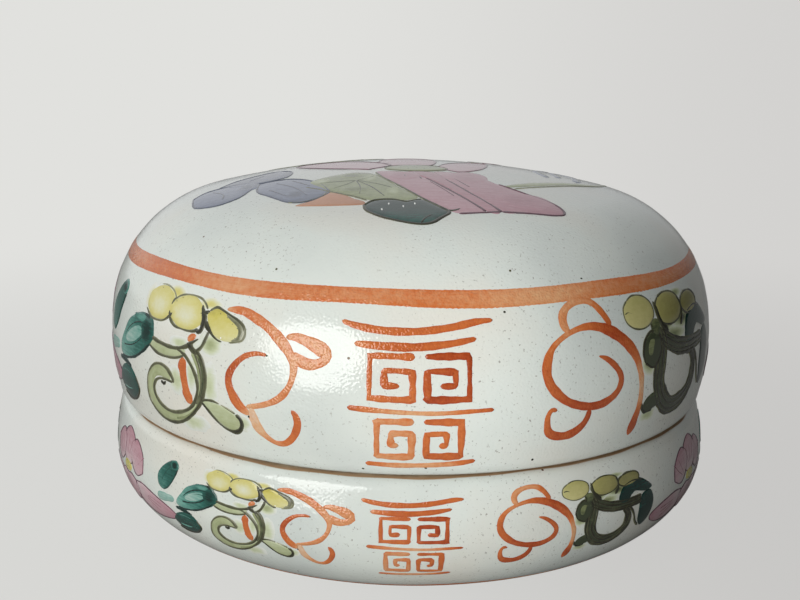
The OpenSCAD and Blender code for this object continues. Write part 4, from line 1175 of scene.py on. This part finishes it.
    pad = [(-5.9, -26.8), (-4.6, -25), (-2.4, -24.8), (-0.6, -25.6), (1.2, -24.6), (3.2, -26.8), (4.6, -28.8),
           (3.6, -30.6), (2.2, -32.1), (0.2, -32.2), (-3, -30.9), (-5.2, -28.9)]
    addFill(at, "teal", pad, 1.15, 0.86, lift=0.1)
    addStroke(at, "outline", [(-5.9, -26.6, 0.4, 0.8), (-5.3, -28.8, 0.5, 0.9), (-3.1, -30.9, 0.5, 0.95),
                              (0.1, -32.2, 0.5, 1.0), (2.2, -32.1, 0.6, 1.0), (3.6, -30.6, 0.6, 1.0),
                              (4.6, -28.9, 0.5, 0.95), (3.4, -27, 0.4, 0.8)], lift=0.12)
    addStroke(at, "outline", [(-5.8, -26.6, 0.3, 0.8), (-4.6, -25, 0.34, 0.85), (-2.4, -24.8, 0.34, 0.85),
                              (-0.6, -25.6, 0.3, 0.8), (1.2, -24.6, 0.34, 0.85)], lift=0.12)
    addStroke(at, "outline", [(2.6, -29.8, 0.4, 1.0), (1.7, -31, 0.45, 1.0), (1.2, -32.1, 0.4, 1.0)],
              lift=0.12)
    # white dots on the pad: painted highlights, glints off bumps in its enamel
    addDots(at, "white", (0.3, 0.36, 0.05, -0.7), (0.5, 0.5), (-2.8, -26.3), (-1, -27.2), (0.4, -26.2),
            (-3.6, -28.2), lift=0.14)

    addStroke(at, "green", [(12.4, -16.4, 1.0, 0.7), (16, -13.2, 1.9, 0.62), (21, -8.5, 1.7, 0.56),
                            (26.5, -3, 1.4, 0.6), (29.5, 4, 0.8, 0.6)], lift=0.06)
    addStroke(at, "outline", drawn([(13.6, -17), (19.5, -11.8), (26.5, -4), (29.5, 3)], 0.24, 0.3), lift=0.08)
    for line in ([(19.5, -4), (18.8, 3), (21.5, 11)], [(24, -3.5), (24.6, 4), (22, 12)],
                 [(21.5, -2), (21.8, 6), (25.5, 13)]):
        addStroke(at, "blue", drawn(line, 1.3, 0.6), lift=0.06)
        addStroke(at, "outline", drawn(np.array(line) + 0.3, 0.24, 0.4), lift=0.08)
    back = [(-23, 12), (-20, 18), (-14, 21), (-7, 19.5), (-4.5, 14.5), (-7, 9.5), (-13, 7.5), (-19.5, 8)]
    addFill(at, "green", back, 0.5, 0.8, lift=0.07)
    addLoop(at, "outline", back, 0.3, 0.5)
    for turn in range(0, 360, 40):
        out = np.array([math.cos(math.radians(turn)), 0.66 * math.sin(math.radians(turn))])
        line = np.array([(-13, 13.6), (-13.4, 13.6), (-13.6, 13.8)]) + out * np.array([[1.0], [5.0], [8.0]])
        addStroke(at, "green", drawn(line, 0.32, 1.0), lift=0.09)
    fold = [(2, 22), (6, 26), (13, 26.5), (17.5, 22.5), (13, 20.5), (7, 20)]
    addFill(at, "teal", fold, 0.5, 0.85, toward=(1, 0), lift=0.08)
    addLoop(at, "outline", fold, 0.3, 0.6)
    addStroke(at, "teal", drawn([(4, 22), (9.5, 23.4), (15.6, 22.6)], 0.35, 1.0), lift=0.1)
    addStroke(at, "green", [(9.2, 5.5, 0.7, 0.6), (10.2, 8, 0.8, 0.6), (11.2, 11, 0.8, 0.6)], lift=0.06)
    bud = [(11, 9.6), (9, 13), (10, 17), (12.6, 20), (14.6, 16.4), (13.8, 12)]
    addFill(at, "rose", bud, 0.25, 0.75, toward=(0, 1), lift=0.1)
    addLoop(at, "rose", bud, 0.3, 1.0)
    addStroke(at, "rose", drawn([(11.4, 10.6), (11.2, 14), (12.4, 18)], 0.26, 0.95), lift=0.11)


def paintWall(at, turns):
    # the wall's motifs, repeated round the pot
    for turn in turns:
        front = dict(at, turn=turn)
        for paint in (paintScrolls, paintFret, paintFruits, paintLeaves, paintTendrils, paintFlower):
            paint(front)


band(lidSide, 20.75, 2.5, 0.42)
paintWall(lidSide, (0, 180))
paintPond(lidCrown)
# spots of iron that came up through the glaze in the kiln: angle, height, width and wash
spots = [(14.5, 19.2, 0.34, 1.1), (16.8, 23.3, 0.5, 0.62), (29.8, 22.0, 0.26, 0.9), (19.2, 1.8, 0.4, 1.0),
         (-23.5, 22.9, 0.42, 0.6), (-0.5, 14.5, 0.26, 0.85), (-7.0, 1.2, 0.28, 0.9), (2.5, 1.5, 0.26, 0.85)]
for angle, height, width, wash in spots:
    addDots(lidSide, "outline", (width, width, 0.45, -0.08), (wash, wash), (angle, height), lift=0.02)
print("lid painted with", laid["count"], "strokes")

band(baseSide, 14.9, 1.3, 0.42)
paintWall(baseSide, (0, 120, 240))
print("base painted,", laid["count"], "strokes in all")

for (body, colour), parts in skins.items():
    makePiece(body + "_paint_" + colour, parts, colours[colour], body, 180)


# stage, lights and camera

# where the photo was taken from, in metres and radians
view = {"place": (0.0, -0.1502, 0.0633), "down": 0.2234, "turn": 0.0102, "roll": 0.0118, "lens": 45.36}

stage = {
    "wallLeft": "#e1e1de",  # the plain wall behind, which is a little dimmer to the right
    "wallRight": "#d3d2d0",
    "floor": "#979693",
    "fibreSize": 1.5,      # mm across a cloud in the paper
    "below": 0.03,         # mm that the floor lies below the foot, so that the two don't share a plane
    "nearGlow": 0.86,      # share of the plain background in what the camera sees of the floor by the box
    "blendFrom": 0.06,     # metres from the box's axis at which the floor starts to turn into the background
    "blendTo": 0.26,
    "room": "#f4f5f6",
    "roomBright": 0.89,    # strength of the room's light where it is brightest
    "roomFrom": (-0.48, 0.54, 0.69),  # and the way to there: behind the box, up and to the left
}

# lamps that face the box, in metres and degrees, with the azimuth from the front and positive to the right
window = {"azimuth": -29.7, "elevation": 8.6, "distance": 0.2025, "size": 0.124, "strength": 5.2,
          "colour": "#fffefb"}
fill = {"azimuth": 12, "elevation": 1, "distance": 0.35, "tall": 1.7,  # evens out the right of the front
        "energy": 2.0, "cone": 8.4, "blend": 0.55, "radius": 0.02}


def wallColour(tree, direction):
    # the wall's colour in a direction seen from the camera
    across = node(tree, "ShaderNodeVectorMath", {0: direction, 1: (1, 0, 0)}, operation="DOT_PRODUCT")
    share = node(tree, "ShaderNodeMapRange", {"Value": across.outputs["Value"], "From Min": -0.15,
                                              "From Max": 0.38}, interpolation_type="SMOOTHSTEP")
    mixed = node(tree, "ShaderNodeMix", {0: share.outputs["Result"], 6: linear(stage["wallLeft"]),
                                         7: linear(stage["wallRight"])}, data_type="RGBA")
    return mixed.outputs[2]


def makeStage():
    # a round floor that turns, further out, into the plain background that the world shows
    rows, around = 24, 96
    radius = 6 * np.linspace(0, 1, rows)[1:, None] ** 2
    angle = np.linspace(0, 2 * np.pi, around, endpoint=False)
    low = -stage["below"] * mm
    points = np.stack([radius * np.cos(angle), radius * np.sin(angle), 0 * radius * angle + low], axis=-1)
    here = np.arange((rows - 1) * around).reshape(rows - 1, around)
    beside = np.roll(here, -1, axis=1)
    quads = np.stack([here[:-1], here[1:], beside[1:], beside[:-1]], axis=-1).reshape(-1, 4)
    fan = np.column_stack([np.full(around, (rows - 1) * around), here[0], beside[0]])
    mesh = bpy.data.meshes.new("floor")
    mesh.from_pydata(points.reshape(-1, 3).tolist() + [(0, 0, low)], [], quads.tolist() + fan.tolist())
    mesh.update()
    floor = bpy.data.objects.new("floor", mesh)
    bpy.context.scene.collection.objects.link(floor)
    material, tree, shader = newMaterial("PaperSweep")
    shader.inputs["Roughness"].default_value = 0.9
    place = node(tree, "ShaderNodeTexCoord").outputs["Object"]
    away = node(tree, "ShaderNodeVectorMath", {0: place}, operation="LENGTH")
    far = node(tree, "ShaderNodeMapRange", {"Value": away.outputs["Value"], "From Min": stage["blendFrom"],
                                            "From Max": stage["blendTo"], "To Min": stage["nearGlow"]},
               interpolation_type="SMOOTHSTEP")
    fibre = node(tree, "ShaderNodeTexNoise", {"Vector": place, "Scale": perMetre(stage["fibreSize"]),
                                              "Detail": 3.0})
    paper = node(tree, "ShaderNodeMix", {0: 0.04, 6: linear(stage["floor"]), 7: fibre.outputs["Color"]},
                 data_type="RGBA")
    tree.links.new(paper.outputs[2], shader.inputs["Base Color"])
    fromEye = node(tree, "ShaderNodeVectorMath", {0: place, 1: view["place"]}, operation="SUBTRACT")
    direction = node(tree, "ShaderNodeVectorMath", {0: fromEye.outputs["Vector"]}, operation="NORMALIZE")
    glow = node(tree, "ShaderNodeEmission", {"Color": wallColour(tree, direction.outputs["Vector"]),
                                             "Strength": 1.0})
    path = node(tree, "ShaderNodeLightPath")
    share = node(tree, "ShaderNodeMath", {0: path.outputs["Is Camera Ray"], 1: far.outputs["Result"]},
                 operation="MULTIPLY")
    mixed = node(tree, "ShaderNodeMixShader", {0: share.outputs[0], 1: shader.outputs["BSDF"],
                                               2: glow.outputs["Emission"]})
    output = [n for n in tree.nodes if n.type == "OUTPUT_MATERIAL"][0]
    tree.links.new(mixed.outputs["Shader"], output.inputs["Surface"])
    mesh.materials.append(material)


def hang(lamp, lampView, tall=1):
    # hangs a lamp so that it faces the middle of the box
    holder = bpy.data.objects.new(lamp.name, lamp)
    a, e = math.radians(lampView["azimuth"]), math.radians(lampView["elevation"])
    facing = Matrix.Rotation(a, 4, "Z") @ Matrix.Rotation(math.pi / 2 - e, 4, "X")
    away = Matrix.Translation((0, 0, lampView["distance"]))
    holder.matrix_world = Matrix.Translation((0, 0, 0.03)) @ facing @ away @ Matrix.Diagonal((1, tall, 1, 1))
    holder.visible_camera = False
    bpy.context.scene.collection.objects.link(holder)
    return holder


makeStage()
windowLamp = bpy.data.lights.new("window", "AREA")
windowLamp.shape = "DISK"
windowLamp.size = window["size"]
windowLamp.energy = window["strength"] * math.pi * (math.pi / 4 * window["size"] ** 2)
windowLamp.color = linear(window["colour"])[:3]
hang(windowLamp, window)
fillLamp = bpy.data.lights.new("fill", "SPOT")
fillLamp.energy = fill["energy"]
fillLamp.spot_size = math.radians(fill["cone"])
fillLamp.spot_blend = fill["blend"]
fillLamp.shadow_soft_size = fill["radius"]
hang(fillLamp, fill, fill["tall"]).visible_glossy = False  # the glaze mirrors the window alone

world = bpy.data.worlds.new("Studio")
bpy.context.scene.world = world
world.use_nodes = True
world.node_tree.nodes.clear()
toward = node(world.node_tree, "ShaderNodeTexCoord").outputs["Generated"]
lean = node(world.node_tree, "ShaderNodeVectorMath", {0: toward, 1: stage["roomFrom"]},
            operation="DOT_PRODUCT")
level = node(world.node_tree, "ShaderNodeMapRange", {"Value": lean.outputs["Value"], "From Min": -0.25,
                                                     "From Max": 1.0, "To Min": 0.0,
                                                     "To Max": stage["roomBright"]},
             interpolation_type="SMOOTHSTEP")
room = node(world.node_tree, "ShaderNodeBackground", {"Color": linear(stage["room"]),
                                                      "Strength": level.outputs["Result"]})
shown = node(world.node_tree, "ShaderNodeBackground", {"Color": wallColour(world.node_tree, toward),
                                                       "Strength": 1.0})
path = node(world.node_tree, "ShaderNodeLightPath")
sky = node(world.node_tree, "ShaderNodeMixShader",
           {0: path.outputs["Is Camera Ray"], 1: room.outputs[0], 2: shown.outputs[0]})
node(world.node_tree, "ShaderNodeOutputWorld", {"Surface": sky.outputs[0]})
bpy.context.scene.view_settings.view_transform = "Standard"

cameraData = bpy.data.cameras.new("Camera")
cameraData.lens = view["lens"]
cameraData.sensor_width = 36
cameraData.clip_start = 0.01
camera = bpy.data.objects.new("Camera", cameraData)
aim = Matrix.Rotation(view["turn"], 4, "Z") @ Matrix.Rotation(math.pi / 2 - view["down"], 4, "X")
camera.matrix_world = Matrix.Translation(view["place"]) @ aim @ Matrix.Rotation(view["roll"], 4, "Z")
bpy.context.scene.collection.objects.link(camera)
bpy.context.scene.camera = camera
print("stage set")

bpy.context.view_layer.update()
